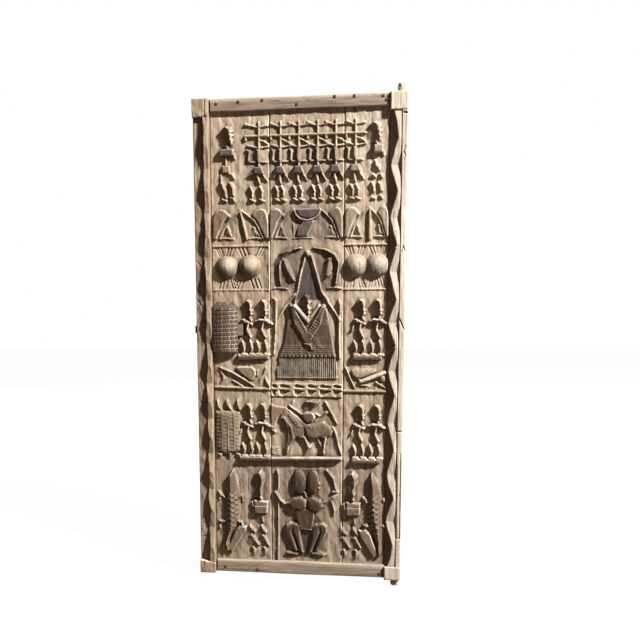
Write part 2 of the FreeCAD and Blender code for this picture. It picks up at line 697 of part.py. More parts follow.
CRAWLER_SHARES = [
    oval(0.14, 0.71, 0.27, 0.26),
    band([(-0.50, 1.00), (0.11, 0.48)]),
    band([(-0.41, 0.70), (0.31, 0.20)]),
    band([(-0.58, 0.85), (-0.48, 0.52), (-0.60, 0.25)]),
    band([(0.60, 0.89), (0.35, 0.20)]),
    [(-0.60, 0.10), (0.62, 0.10), (0.62, 0.19), (-0.60, 0.19)],
]
BOW_TIE_SHARES = [both_sides([(0.20, 0.0), (0.07, 0.45), (0.07, 0.55), (0.20, 1.0)])]
GRANARY_SHARES = [
    [(-0.50, 0.09), (0.50, 0.09), (0.50, 0.81), (-0.50, 0.81)],
    band([(-0.45, 1.00), (-0.22, 0.84), (0.02, 0.97)]),
    band([(0.02, 0.97), (0.28, 0.84)]),
    band([(0.44, 0.78), (0.44, 1.00)]),
    [(-0.46, 0.09), (-0.38, 0.0), (-0.22, 0.0), (-0.20, 0.09)],
    [(-0.08, 0.09), (0.02, 0.0), (0.16, 0.0), (0.16, 0.09)],
    [(0.26, 0.09), (0.34, 0.0), (0.48, 0.0), (0.48, 0.09)],
]
RIDER_SHARES = [
    [(-0.49, 0.66), (-0.46, 0.50), (-0.31, 0.46), (-0.31, 0.72), (-0.40, 0.80)],
    band([(-0.38, 0.55), (-0.36, 0.25), (-0.41, 0.02)]),
    band([(-0.30, 0.62), (0.0, 0.58), (0.21, 0.63), (0.35, 0.53), (0.45, 0.40), (0.48, 0.24),
          (0.49, 0.02)], "horse_back_thick"),
    band([(-0.19, 0.42), (-0.05, 0.13), (-0.12, 0.0)]),
    [(0.0, 0.55), (0.05, 0.36), (0.16, 0.28), (0.30, 0.36), (0.30, 0.56)],
    band([(0.17, 0.36), (0.23, 0.18), (0.19, 0.02)]),
    band([(0.28, 0.36), (0.32, 0.18), (0.26, 0.0)]),
    [(-0.09, 0.77), (-0.06, 0.62), (0.06, 0.62), (0.10, 0.77)],
    band([(-0.30, 0.86), (-0.20, 0.72), (0.0, 0.64)], "thin_band_thick"),
    band([(0.10, 0.70), (0.20, 0.64), (0.28, 0.76)], "thin_band_thick"),
    band([(0.09, 0.56), (-0.05, 0.36), (0.04, 0.18)]),
    band([(0.26, 0.97), (0.45, 0.57)], "thin_band_thick"),
    band([(0.0, 0.97), (0.16, 1.0)]),
]
RIDER_HEAD_SHARES = [oval(-0.01, 0.89, 0.075, 0.085)]
CROCODILE_SHARES = [
    [(0.05, 1.00), (0.23, 0.83), (0.20, 0.70), (0.28, 0.64), (0.28, 0.33), (0.02, 0.27),
     (-0.38, 0.08), (-0.30, 0.33), (-0.27, 0.64), (-0.18, 0.72), (-0.20, 0.85)],
    band([(-0.22, 0.62), (-0.38, 0.72)]),
    band([(0.22, 0.60), (0.42, 0.66)]),
    band([(-0.25, 0.36), (-0.38, 0.38)]),
    band([(0.22, 0.35), (0.42, 0.35)]),
    band([(-0.09, 0.02), (0.52, 0.22)]),
]
ANCESTOR_SHARES = [
    [(-0.16, 0.68), (-0.11, 0.56), (-0.13, 0.35), (0.13, 0.35), (0.11, 0.56), (0.18, 0.68)],
    oval(-0.12, 0.64, 0.10, 0.07),
    oval(0.15, 0.63, 0.09, 0.07),
    band([(-0.07, 0.37), (-0.20, 0.41), (-0.28, 0.32), (-0.19, 0.11), (-0.04, 0.07)]),
    band([(0.09, 0.37), (0.22, 0.41), (0.28, 0.32), (0.18, 0.12), (0.05, 0.06)]),
    oval(-0.21, 0.04, 0.13, 0.04),
    oval(0.20, 0.04, 0.15, 0.04),
    band([(-0.42, 0.74), (-0.43, 0.0)]),
    oval(-0.44, 0.87, 0.06, 0.12),
    band([(-0.46, 0.75), (-0.28, 0.63), (-0.15, 0.66)]),
    band([(0.33, 0.99), (0.44, 0.90), (0.48, 0.79)]),
    band([(0.16, 0.66), (0.30, 0.62), (0.42, 0.50)]),
]
ANCESTOR_HEAD_SHARES = [oval(-0.08, 0.86, 0.10, 0.12), oval(0.12, 0.86, 0.07, 0.12)]
BORDER_SHARES = [[(-0.48, 0.0), (0.48, 0.0), (0.48, 1.0), (-0.48, 1.0)]]
LEDGE_SHARES = [[(-0.5, 0.0), (0.5, 0.0), (0.5, 1.0), (-0.5, 1.0)]]


# How high each figure stands, as a share of the leaf's height
DANCER_HEIGHT_SHARE = 0.1605
ELDER_HEIGHT_SHARE = 0.1568
PEAK_HEIGHT_SHARE = 0.0617
BIRD_HEIGHT_SHARE = 0.0895
ROBE_HEIGHT_SHARE = 0.1747
COUPLE_HEIGHT_SHARE = 0.1173
LEDGE_HEIGHT_SHARE = 0.0154
BOW_TIE_HEIGHT_SHARE = 0.0235
CRAWLER_HEIGHT_SHARE = 0.0556
GRANARY_HEIGHT_SHARE = 0.1315
RIDER_HEIGHT_SHARE = 0.1173
CROCODILE_HEIGHT_SHARE = 0.1864
BEARER_HEIGHT_SHARE = 0.2006
ANCESTORS_HEIGHT_SHARE = 0.1988
BORDER_HEIGHT_SHARE = 0.0043


def outline_face(points):
    corners = [Vector(x, 0, z) for x, z in points]
    return Part.Face(Part.makePolygon(corners + corners[:1]))


def band_faces(points, thick):
    """One face per run of the route, each with square ends half a width past its points."""
    faces = []
    for (x0, z0), (x1, z1) in zip(points, points[1:]):
        length = math.hypot(x1 - x0, z1 - z0)
        along = ((x1 - x0) / length * thick / 2, (z1 - z0) / length * thick / 2)
        across = (-along[1], along[0])
        faces.append(outline_face([
            (x0 - along[0] + across[0], z0 - along[1] + across[1]),
            (x1 + along[0] + across[0], z1 + along[1] + across[1]),
            (x1 + along[0] - across[0], z1 + along[1] - across[1]),
            (x0 - along[0] - across[0], z0 - along[1] - across[1])]))
    return faces


# A carved oval is whittled in this many flats
OVAL_FLATS = 12


def oval_face(x, z, half_width, half_height):
    turns = [2 * math.pi * flat / OVAL_FLATS for flat in range(OVAL_FLATS)]
    return outline_face([(x + half_width * math.cos(turn), z + half_height * math.sin(turn))
                         for turn in turns])


class Figure:
    """A carved figure: its shares, its width, its height as a share of the leaf's, and where
    its foot's middle stands on a plank, as a share of the plank's width and of the leaf's
    height. A mirrored one faces the other way."""

    def __init__(self, shares, width, height_share, place, stand="figure_stand", mirror=False):
        self.shares, self.place, self.stand = shares, place, stand
        self.width = size(width) * (-1 if mirror else 1)
        self.height = height_share * size("leaf_height")

    def faces(self, left, plank_width):
        middle = left + self.place[0] * plank_width
        foot = size("toe_length") + self.place[1] * size("leaf_height")

        def at(x, z):
            return middle + x * self.width, foot + z * self.height

        found = []
        for item in self.shares:
            if item[0] == "band":
                found += band_faces([at(x, z) for x, z in item[1]], size(item[2]))
            elif item[0] == "oval":
                x, z = at(item[1], item[2])
                found.append(oval_face(x, z, abs(self.width) * item[3], self.height * item[4]))
            else:
                found.append(outline_face([at(x, z) for x, z in item]))
        return found


def raise_figures(label, left, width, figures):
    """The figures of one plank, left standing above its face, as one solid per height."""
    layers = []
    for stand in ("line_stand", "figure_stand", "head_stand"):
        faces = [face for figure in figures if figure.stand == stand
                 for face in figure.faces(value(left), size(width))]
        if not faces:
            continue
        flat = faces[0].multiFuse(faces[1:]).removeSplitter() if faces[1:] else faces[0]
        raised = flat.extrude(Vector(0, -size(stand), 0))
        layer = doc.addObject("Part::Feature", "%s_%s" % (label, stand))
        layer.Shape = raised
        layer.Placement = FreeCAD.Placement(Vector(0, value(FRONT_FACE), 0), FreeCAD.Rotation())
        layers.append(layer)
    return layers


def raise_boss(label, left, place, width):
    """A round boss turned up from the plank as a low dome, with a small nub on its crown."""
    radius, stand = size("boss_radius"), size("boss_stand")
    nub, rise = size("boss_nub_radius"), size("boss_nub_height")
    bend = (radius ** 2 + stand ** 2) / (2 * stand)
    low = Vector(radius, 0, 0)
    halfway = math.asin(radius / bend) / 2
    middle = Vector(bend * math.sin(halfway), 0, stand - bend + bend * math.cos(halfway))
    crown = Vector(0, 0, stand)
    arc = Part.Arc(low, middle, crown).toShape()
    half = Part.Wire([Part.LineSegment(Vector(0, 0, 0), low).toShape(), arc,
                      Part.LineSegment(crown, Vector(0, 0, 0)).toShape()])
    dome = Part.Face(half).revolve(Vector(0, 0, 0), Vector(0, 0, 1), 360)
    dome = dome.fuse(Part.makeCylinder(nub, stand + rise))
    boss = doc.addObject("Part::Feature", label)
    boss.Shape = dome
    x = value(left) + place[0] * size(width)
    z = size("toe_length") + place[1] * size("leaf_height")
    boss.Placement = FreeCAD.Placement(Vector(x, value(FRONT_FACE), z),
                                       FreeCAD.Rotation(Vector(1, 0, 0), 90))
    return boss


def clear_lock_field(carved):
    """The left plank with its carving cut off level where the lock case sits and where the bolt
    slides, which shaves the back of the figure beside the bolt."""
    stand = "boss_stand + boss_nub_height + overrun"
    seat = doc.addObject("Part::Box", "lock_seat")
    bind(seat, {"Length": "case_left_gap + case_width + bolt_clearance", "Width": stand,
                "Height": "case_height + case_peak_height + bolt_clearance + bolt_clearance",
                ".Placement.Base.x": LEFT_PLANK_LEFT,
                ".Placement.Base.y": FRONT_FACE + " - boss_stand - boss_nub_height - overrun",
                ".Placement.Base.z": "case_base - bolt_clearance"})
    way = doc.addObject("Part::Box", "bolt_way")
    bind(way, {"Length": BOLT_WAY_LENGTH, "Width": stand, "Height": BOLT_WAY_HEIGHT,
               ".Placement.Base.x": LEFT_PLANK_LEFT,
               ".Placement.Base.y": FRONT_FACE + " - boss_stand - boss_nub_height - overrun",
               ".Placement.Base.z": "bolt_base - bolt_clearance"})
    both = doc.addObject("Part::MultiFuse", "lock_field")
    both.Shapes = [seat, way]
    plank = doc.addObject("Part::Cut", "left_plank")
    plank.Label = plank.Name
    plank.Base, plank.Tool = carved, both
    return plank


def carve_plank(label, left, width, board, figures, bosses=()):
    """A plank with everything that stands on it."""
    raised = raise_figures(label, left, width, figures)
    raised += [raise_boss("%s_boss_%d" % (label, number), left, place, width)
               for number, place in enumerate(bosses)]
    plank = doc.addObject("Part::MultiFuse", label)
    plank.Label = label
    plank.Shapes = [board] + raised
    plank.Refine = True
    return plank


top_spots = nail_spots(TOP_NAIL_SHARES, "top_rail_height", TOP_RAIL_BASE)
bottom_spots = nail_spots(BOTTOM_NAIL_SHARES, "bottom_rail_height", BOTTOM_RAIL_BASE)
left_stile = make_left_stile()
right_stile = make_right_stile()
top_rail = make_rail("top_rail", TOP_RAIL_BASE, "top_rail_height")
bottom_rail = make_rail("bottom_rail", BOTTOM_RAIL_BASE, "bottom_rail_height")
doc.recompute()
cut_nail_holes(top_rail, top_spots, None)
cut_nail_holes(bottom_rail, bottom_spots, None)

left_board = make_board("left_plank", LEFT_PLANK_LEFT, "left_plank_width", top_spots + bottom_spots,
                        [(0, 1), (size("left_plank_width"), -1)])
cut_bolt_groove(left_board)
middle_board = make_board("middle_plank", MIDDLE_PLANK_LEFT, "middle_plank_width", top_spots,
                          [(0, 1), (size("middle_plank_width"), -1)])
right_board = make_board("right_plank", RIGHT_PLANK_LEFT, "right_plank_width",
                         top_spots + bottom_spots, [(0, 1), (size("right_plank_width"), -1)])

# Each figure's place is a share of its plank's width and of the leaf's height
left_carved = carve_plank("left_plank_carved", LEFT_PLANK_LEFT, "left_plank_width", left_board, [
    Figure(FIGURE_SHARES, "elder_width", ELDER_HEIGHT_SHARE, (0.296, 0.791)),
    Figure(FIGURE_HEAD_SHARES, "elder_width", ELDER_HEIGHT_SHARE, (0.296, 0.791), "head_stand"),
    Figure(DANCER_SHARES, "dancer_width", DANCER_HEIGHT_SHARE, (0.819, 0.789)),
    Figure(PEAK_SHARES, "peak_width", PEAK_HEIGHT_SHARE, (0.487, 0.720)),
    Figure(BORDER_SHARES, "left_plank_width", BORDER_HEIGHT_SHARE, (0.500, 0.703), "line_stand"),
    Figure(BORDER_SHARES, "left_plank_width", BORDER_HEIGHT_SHARE, (0.500, 0.614), "line_stand"),
    Figure(FIGURE_SHARES, "couple_width", COUPLE_HEIGHT_SHARE, (0.628, 0.479)),
    Figure(FIGURE_SHARES, "couple_width", COUPLE_HEIGHT_SHARE, (0.884, 0.479)),
    Figure(FIGURE_HEAD_SHARES, "couple_width", COUPLE_HEIGHT_SHARE, (0.628, 0.479), "head_stand"),
    Figure(FIGURE_HEAD_SHARES, "couple_width", COUPLE_HEIGHT_SHARE, (0.884, 0.479), "head_stand"),
    Figure(LEDGE_SHARES, "ledge_length", LEDGE_HEIGHT_SHARE, (0.696, 0.464)),
    Figure(CRAWLER_SHARES, "crawler_width", CRAWLER_HEIGHT_SHARE, (0.487, 0.400)),
    Figure(GRANARY_SHARES, "granary_width", GRANARY_HEIGHT_SHARE, (0.236, 0.254)),
    Figure(FIGURE_SHARES, "couple_width", COUPLE_HEIGHT_SHARE, (0.628, 0.262)),
    Figure(FIGURE_SHARES, "couple_width", COUPLE_HEIGHT_SHARE, (0.884, 0.262)),
    Figure(FIGURE_HEAD_SHARES, "couple_width", COUPLE_HEIGHT_SHARE, (0.628, 0.262), "head_stand"),
    Figure(FIGURE_HEAD_SHARES, "couple_width", COUPLE_HEIGHT_SHARE, (0.884, 0.262), "head_stand"),
    Figure(LEDGE_SHARES, "ledge_length", LEDGE_HEIGHT_SHARE, (0.716, 0.242)),
    Figure(CROCODILE_SHARES, "crocodile_width", CROCODILE_HEIGHT_SHARE, (0.302, 0.047)),
    Figure(FIGURE_SHARES, "bearer_width", BEARER_HEIGHT_SHARE, (0.774, 0.034)),
    Figure(BEARER_BOX_SHARES, "bearer_width", BEARER_HEIGHT_SHARE, (0.774, 0.034), "head_stand"),
    Figure(FIGURE_HEAD_SHARES, "bearer_width", BEARER_HEIGHT_SHARE, (0.774, 0.034), "head_stand"),
], bosses=[(0.261, 0.663), (0.653, 0.664)])
left_plank = clear_lock_field(left_carved)

middle_plank = carve_plank("middle_plank", MIDDLE_PLANK_LEFT, "middle_plank_width", middle_board, [
    Figure(DANCER_SHARES, "dancer_width", DANCER_HEIGHT_SHARE, (across, 0.789))
    for across in (0.150, 0.394, 0.646, 0.886)
] + [
    Figure(BOW_TIE_SHARES, "bow_tie_width", BOW_TIE_HEIGHT_SHARE, (across, 0.394))
    for across in (0.106, 0.305, 0.488, 0.650, 0.846)
] + [
    Figure(BOWL_SHARES, "bowl_width", PEAK_HEIGHT_SHARE, (0.508, 0.716)),
    Figure(BIRD_SHARES, "bird_width", BIRD_HEIGHT_SHARE, (0.228, 0.614)),
    Figure(BIRD_SHARES, "bird_width", BIRD_HEIGHT_SHARE, (0.797, 0.614), mirror=True),
    Figure(BIRD_POLE_SHARES, "bird_pole_span", BIRD_HEIGHT_SHARE, (0.508, 0.614)),
    Figure(ROBE_SHARES, "robe_width", ROBE_HEIGHT_SHARE, (0.508, 0.431)),
    Figure(ROBE_SKIRT_SHARES, "robe_width", ROBE_HEIGHT_SHARE, (0.508, 0.431), "line_stand"),
    Figure(ROBE_HEAD_SHARES, "robe_width", ROBE_HEIGHT_SHARE, (0.508, 0.431), "head_stand"),
    Figure(RIDER_SHARES, "rider_width", RIDER_HEIGHT_SHARE, (0.520, 0.266)),
    Figure(RIDER_HEAD_SHARES, "rider_width", RIDER_HEIGHT_SHARE, (0.520, 0.266), "head_stand"),
    Figure(BORDER_SHARES, "middle_plank_width", LEDGE_HEIGHT_SHARE, (0.500, 0.242)),
    Figure(ANCESTOR_SHARES, "ancestors_width", ANCESTORS_HEIGHT_SHARE, (0.480, 0.036)),
    Figure(ANCESTOR_HEAD_SHARES, "ancestors_width", ANCESTORS_HEIGHT_SHARE, (0.480, 0.036), "head_stand"),
])

right_plank = carve_plank("right_plank", RIGHT_PLANK_LEFT, "right_plank_width", right_board, [
    Figure(DANCER_SHARES, "dancer_width", DANCER_HEIGHT_SHARE, (0.241, 0.789)),
    Figure(FIGURE_SHARES, "elder_width", ELDER_HEIGHT_SHARE, (0.759, 0.791)),
    Figure(FIGURE_HEAD_SHARES, "elder_width", ELDER_HEIGHT_SHARE, (0.759, 0.791), "head_stand"),
    Figure(PEAK_SHARES, "narrow_peak_width", PEAK_HEIGHT_SHARE, (0.490, 0.720)),
    Figure(BORDER_SHARES, "right_plank_width", BORDER_HEIGHT_SHARE, (0.500, 0.703), "line_stand"),
    Figure(BORDER_SHARES, "right_plank_width", BORDER_HEIGHT_SHARE, (0.500, 0.614), "line_stand"),
    Figure(FIGURE_SHARES, "couple_width", COUPLE_HEIGHT_SHARE, (0.400, 0.479)),
    Figure(FIGURE_SHARES, "couple_width", COUPLE_HEIGHT_SHARE, (0.786, 0.479)),
    Figure(FIGURE_HEAD_SHARES, "couple_width", COUPLE_HEIGHT_SHARE, (0.400, 0.479), "head_stand"),
    Figure(FIGURE_HEAD_SHARES, "couple_width", COUPLE_HEIGHT_SHARE, (0.786, 0.479), "head_stand"),
    Figure(LEDGE_SHARES, "ledge_length", LEDGE_HEIGHT_SHARE, (0.524, 0.464)),
    Figure(CRAWLER_SHARES, "narrow_crawler_width", CRAWLER_HEIGHT_SHARE, (0.510, 0.400)),
    Figure(FIGURE_SHARES, "couple_width", COUPLE_HEIGHT_SHARE, (0.421, 0.262)),
    Figure(FIGURE_SHARES, "couple_width", COUPLE_HEIGHT_SHARE, (0.814, 0.262)),
    Figure(FIGURE_HEAD_SHARES, "couple_width", COUPLE_HEIGHT_SHARE, (0.421, 0.262), "head_stand"),
    Figure(FIGURE_HEAD_SHARES, "couple_width", COUPLE_HEIGHT_SHARE, (0.814, 0.262), "head_stand"),
    Figure(LEDGE_SHARES, "ledge_length", LEDGE_HEIGHT_SHARE, (0.517, 0.246)),
    Figure(CROCODILE_SHARES, "crocodile_width", CROCODILE_HEIGHT_SHARE, (0.731, 0.047), mirror=True),
    Figure(FIGURE_SHARES, "bearer_width", BEARER_HEIGHT_SHARE, (0.230, 0.036)),
    Figure(BEARER_BOX_SHARES, "bearer_width", BEARER_HEIGHT_SHARE, (0.230, 0.036), "head_stand"),
    Figure(FIGURE_HEAD_SHARES, "bearer_width", BEARER_HEIGHT_SHARE, (0.230, 0.036), "head_stand"),
], bosses=[(0.269, 0.664), (0.749, 0.664)])

nodes = [
    left_stile, left_plank, middle_plank, right_plank, right_stile, top_rail, bottom_rail,
    nail_group("top_rail_nails", top_spots, FRONT_FACE + " - rail_thick"),
    nail_group("bottom_rail_nails", bottom_spots, FRONT_FACE + " - rail_thick"),
    staple_group("left_stile_staples", LEFT_PLANK_LEFT),
    staple_group("left_seam_staples", MIDDLE_PLANK_LEFT),
    staple_group("right_seam_staples", RIGHT_PLANK_LEFT),
    staple_group("right_stile_staples", RIGHT_STILE_LEFT),
    make_lock_case(), make_bolt(),
] + [make_pin(number) for number in range(PIN_COUNT)]

doc.recompute()
for item in doc.Objects:
    assert not {"Invalid", "Error"} & set(item.State), "%s failed: %s" % (item.Name, item.State)
os.makedirs("parts", exist_ok=True)
for node in nodes:
    shape = node.Shape
    assert not shape.isNull() and shape.isValid(), node.Label + " has no valid shape"
    print("%-22s %3d solids %10.1f cm3" % (node.Label, len(shape.Solids), shape.Volume / 1000))
    shape.exportStep("parts/%s.step" % node.Label)
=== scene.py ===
import math

import bpy
import numpy as np
from mathutils import Matrix, Vector


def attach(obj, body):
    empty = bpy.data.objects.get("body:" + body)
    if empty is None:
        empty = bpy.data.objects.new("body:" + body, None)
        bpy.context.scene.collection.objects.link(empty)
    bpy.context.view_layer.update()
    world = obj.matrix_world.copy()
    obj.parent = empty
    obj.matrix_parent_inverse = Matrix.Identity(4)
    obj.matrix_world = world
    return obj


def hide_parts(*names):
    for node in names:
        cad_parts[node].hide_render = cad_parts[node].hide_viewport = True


# A carved granary door, standing on the toe of its pivot. Every place below is read in
# millimetres in the part's own frame (x to the right, z up, y away from the viewer) and is
# turned to metres only when a mesh is made.
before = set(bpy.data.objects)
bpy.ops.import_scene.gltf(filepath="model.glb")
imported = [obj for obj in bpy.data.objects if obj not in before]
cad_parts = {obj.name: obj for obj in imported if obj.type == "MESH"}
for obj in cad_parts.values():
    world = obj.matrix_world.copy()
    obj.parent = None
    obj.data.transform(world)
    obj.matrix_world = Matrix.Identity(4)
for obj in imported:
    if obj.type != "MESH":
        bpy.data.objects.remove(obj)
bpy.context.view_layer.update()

MM = 0.001
FACE, BACK = -4.0, 22.0
LOW, HIGH = 24.0, 1644.0
LEFT_EDGE, LEFT_SEAM, RIGHT_SEAM, RIGHT_EDGE = -682.0, -627.0, -37.0, 18.0
PLANKS = {"left_plank": (LEFT_SEAM, -428.0), "middle_plank": (-428.0, -182.0),
          "right_plank": (-182.0, RIGHT_SEAM)}


# ---- Wood and iron -------------------------------------------------------------------------
# Dry, hand-hewn wood: pale and fibrous on the open ground, greyer on raised tops, nearly black
# where hands and smoke have stained it, darkened with soot and painted shade in hollows and on
# sides turned away from the lamp, and rubbed light along thin edges, with a few painted highlights.

def new_group(name, inputs, outputs):
    """An empty node group with the given named sockets."""
    group = bpy.data.node_groups.new(name, "ShaderNodeTree")
    for side, sockets in (("INPUT", inputs), ("OUTPUT", outputs)):
        for socket, kind in sockets.items():
            group.interface.new_socket(name=socket, in_out=side, socket_type="NodeSocket" + kind)
    return group, group.nodes.new("NodeGroupInput"), group.nodes.new("NodeGroupOutput")


def node(tree, kind, links=(), **settings):
    """A node with its settings, and what feeds its inputs: an output socket or a plain value."""
    made = tree.nodes.new("ShaderNode" + kind)
    for name, setting in settings.items():
        setattr(made, name, setting)
    for name, source in dict(links).items():
        target = made.inputs[name]
        if isinstance(source, bpy.types.NodeSocket):
            tree.links.new(source, target)
        else:
            target.default_value = source
    return made


def math_node(tree, operation, *sources):
    return node(tree, "Math", enumerate(sources), operation=operation).outputs[0]


def blend_node(tree, share, first, second):
    """Colour first turned towards colour second by a share from 0 to 1."""
    made = tree.nodes.new("ShaderNodeMix")
    made.data_type = "RGBA"
    for spot, source in ((0, share), (6, first), (7, second)):
        socket = made.inputs[spot]
        if isinstance(source, bpy.types.NodeSocket):
            tree.links.new(source, socket)
        else:
            socket.default_value = source
    return made.outputs[2]


def make_grain_group():
    """Fibres along Z: broad streaks, fine fibres and thin drying cracks, each from 0 to 1."""
    group, given, result = new_group("wood_grain", {"Vector": "Vector"},
                                     {"Streak": "Float", "Fibre": "Float", "Crack": "Float",
                                      "Blotch": "Float"})
    for output, scale, detail in (("Streak", (70.0, 70.0, 3.0), 3.0),
                                  ("Fibre", (520.0, 520.0, 16.0), 2.0),
                                  ("Blotch", (9.0, 9.0, 6.0), 3.0)):
        stretched = node(group, "Mapping", {"Vector": given.outputs[0], "Scale": scale})
        grain = node(group, "TexNoise", {"Vector": stretched.outputs[0], "Scale": 1.0,
                                         "Detail": detail, "Roughness": 0.55})
        ramp = node(group, "MapRange", {"Value": grain.outputs[0], "From Min": 0.3,
                                        "From Max": 0.7})
        group.links.new(ramp.outputs[0], result.inputs[output])
    stretched = node(group, "Mapping", {"Vector": given.outputs[0], "Scale": (110.0, 110.0, 2.4)})
    split = node(group, "TexNoise", {"Vector": stretched.outputs[0], "Scale": 1.0, "Detail": 1.0})
    away = math_node(group, "ABSOLUTE", math_node(group, "SUBTRACT", split.outputs[0], 0.5))
    thin = node(group, "MapRange", {"Value": away, "From Min": 0.004, "From Max": 0.012,
                                    "To Min": 1.0, "To Max": 0.0})
    where = node(group, "TexNoise", {"Vector": given.outputs[0], "Scale": 7.0})
    some = node(group, "MapRange", {"Value": where.outputs[0], "From Min": 0.52, "From Max": 0.6})
    group.links.new(math_node(group, "MULTIPLY", thin.outputs[0], some.outputs[0]),
                    result.inputs["Crack"])
    return group


GRAIN = make_grain_group()


def srgb(red, green, blue):
    """A colour of eight-bit display values as the shader's linear ones."""
    parts = [part / 255 for part in (red, green, blue)]
    return tuple(part / 12.92 if part <= 0.04045 else ((part + 0.055) / 1.055) ** 2.4
                 for part in parts) + (1.0,)


GREY_BLOTCH = srgb(138, 122, 106)
GREY_TOP = srgb(112, 94, 78)
# Soot's colour, which also paints shade in hollows, along seams and on sides turned from the lamp
SOOT_AND_SHADE = srgb(60, 28, 6)
SLATE = srgb(76, 68, 65)
# Patina's colour, which also paints shade on the bosses, the ledges and the granary
PATINA_AND_SHADE = srgb(56, 39, 29)
# The rubbed colour, which also paints highlights on the bosses and a shawl band
RUBBED_AND_HIGHLIGHT = srgb(248, 236, 216)


def make_wood(name, light, dark, roughness=0.78, along="Z"):
    """Wood with its grain along one axis. The mesh's own attributes say where it has edges worn
    light, painted highlights, soot, painted shade, a greyer raised top, dark handling and
    slate-grey stains."""
    material = bpy.data.materials.new(name)
    material.use_nodes = True
    tree = material.node_tree
    shader = tree.nodes["Principled BSDF"]
    place = node(tree, "TexCoord").outputs["Object"]
    turn = {"Z": (0.0, 0.0, 0.0), "X": (0.0, math.pi / 2, 0.0)}[along]
    turned = node(tree, "Mapping", {"Vector": place, "Rotation": turn}).outputs[0]
    grain = node(tree, "Group", node_tree=GRAIN)
    tree.links.new(turned, grain.inputs[0])

    def spread(name):
        return node(tree, "Attribute", attribute_name=name).outputs["Fac"]

    # Each layer turns the colour towards its own, by at most the given share
    stain_and_painted_light_share = math_node(tree, "MULTIPLY", spread("patina_and_shade"),
                        math_node(tree, "MULTIPLY_ADD", grain.outputs["Fibre"], -0.25, 1.0))
    colour = blend_node(tree, grain.outputs["Streak"], light, dark)
    for mask, share, layer in ((grain.outputs["Fibre"], 0.35,
                                tuple(0.55 * part for part in dark[:3]) + (1.0,)),
                               (grain.outputs["Blotch"], 0.35, GREY_BLOTCH),
                               (spread("top"), 0.72, GREY_TOP),
                               (spread("slate"), 1.0, SLATE),
                               (spread("soot_and_shade"), 0.8, SOOT_AND_SHADE),
                               (stain_and_painted_light_share, 1.0, PATINA_AND_SHADE),
                               (spread("wear_and_highlight"), 0.75, RUBBED_AND_HIGHLIGHT),
                               (grain.outputs["Crack"], 0.75, SOOT_AND_SHADE)):
        colour = blend_node(tree, math_node(tree, "MULTIPLY", mask, share), colour, layer)
    tree.links.new(colour, shader.inputs["Base Color"])
    rough = math_node(tree, "MULTIPLY_ADD", spread("patina_and_shade"), -0.28, roughness)
    tree.links.new(rough, shader.inputs["Roughness"])
    relief = math_node(tree, "MULTIPLY_ADD", grain.outputs["Crack"], -2.5, grain.outputs["Fibre"])
    bump = node(tree, "Bump", {"Height": relief, "Strength": 0.5, "Distance": 0.0006})
    tree.links.new(bump.outputs[0], shader.inputs["Normal"])
    shader.inputs["Specular IOR Level"].default_value = 0.15
    return material


PLANK_WOOD = make_wood("plank_wood", srgb(197, 180, 160), srgb(140, 117, 96))
LEFT_STILE_WOOD = make_wood("left_stile_wood", srgb(200, 180, 155), srgb(150, 126, 101))
RIGHT_STILE_WOOD = make_wood("right_stile_wood", srgb(236, 228, 214), srgb(198, 180, 158))
RAIL_WOOD = make_wood("rail_wood", srgb(180, 164, 146), srgb(128, 112, 94), along="X")
LOCK_WOOD = make_wood("lock_wood", srgb(134, 116, 99), srgb(90, 75, 62), roughness=0.65)
BOLT_WOOD = make_wood("bolt_wood", srgb(134, 118, 102), srgb(96, 80, 66), roughness=0.6, along="X")
PIN_WOOD = make_wood("pin_wood", srgb(150, 122, 96), srgb(110, 86, 66), roughness=0.6)


def make_iron():
    """Forged iron, dark and pitted, with rust in patches."""
    material = bpy.data.materials.new("iron")
    material.use_nodes = True
    tree = material.node_tree
    shader = tree.nodes["Principled BSDF"]
    place = node(tree, "TexCoord").outputs["Object"]
    patches = node(tree, "TexNoise", {"Vector": place, "Scale": 220.0, "Detail": 4.0})
    rust = node(tree, "MapRange", {"Value": patches.outputs[0], "From Min": 0.42, "From Max": 0.62})
    colour = blend_node(tree, rust.outputs[0], srgb(62, 54, 50), srgb(88, 66, 52))
    tree.links.new(colour, shader.inputs["Base Color"])
    bump = node(tree, "Bump", {"Height": patches.outputs[0], "Strength": 0.4, "Distance": 0.0006})
    tree.links.new(bump.outputs[0], shader.inputs["Normal"])
    shader.inputs["Metallic"].default_value = 0.7
    shader.inputs["Roughness"].default_value = 0.6
    return material


IRON = make_iron()


# ---- The carving of the three planks ---------------------------------------------------------
# Figures left standing while the ground was cut away with an adze. The planks are carved
# together, so that bars and ledges run on across the seams.

def lattice(x, z, pitch_x, pitch_z, seed):
    """Smooth random hills from -1 to 1: random values on a lattice, eased between its points
    by t*t*(3 - 2t)."""
    u, v = x / pitch_x, z / pitch_z
    first_u, first_v = int(np.floor(u.min())), int(np.floor(v.min()))
    spots = np.random.default_rng(seed).uniform(
        -1, 1, (int(v.max()) - first_v + 3, int(u.max()) - first_u + 3))
    i, j = np.floor(u).astype(int), np.floor(v).astype(int)
    s, t = u - i, v - j
    s, t = s * s * (3 - 2 * s), t * t * (3 - 2 * t)
    i, j = i - first_u, j - first_v
    low = spots[j, i] * (1 - s) + spots[j, i + 1] * s
    high = spots[j + 1, i] * (1 - s) + spots[j + 1, i + 1] * s
    return low * (1 - t) + high * t


def blurred(field, cells):
    """The mean of a field over a square of cells on each side, by running sums."""
    for axis in (0, 1):
        pad = [(0, 0), (0, 0)]
        pad[axis] = (cells + 1, cells)
        sums = np.cumsum(np.pad(field, pad, mode="edge"), axis=axis)
        span = 2 * cells + 1
        field = (np.take(sums, range(span, sums.shape[axis]), axis)
                 - np.take(sums, range(sums.shape[axis] - span), axis)) / span
    return field


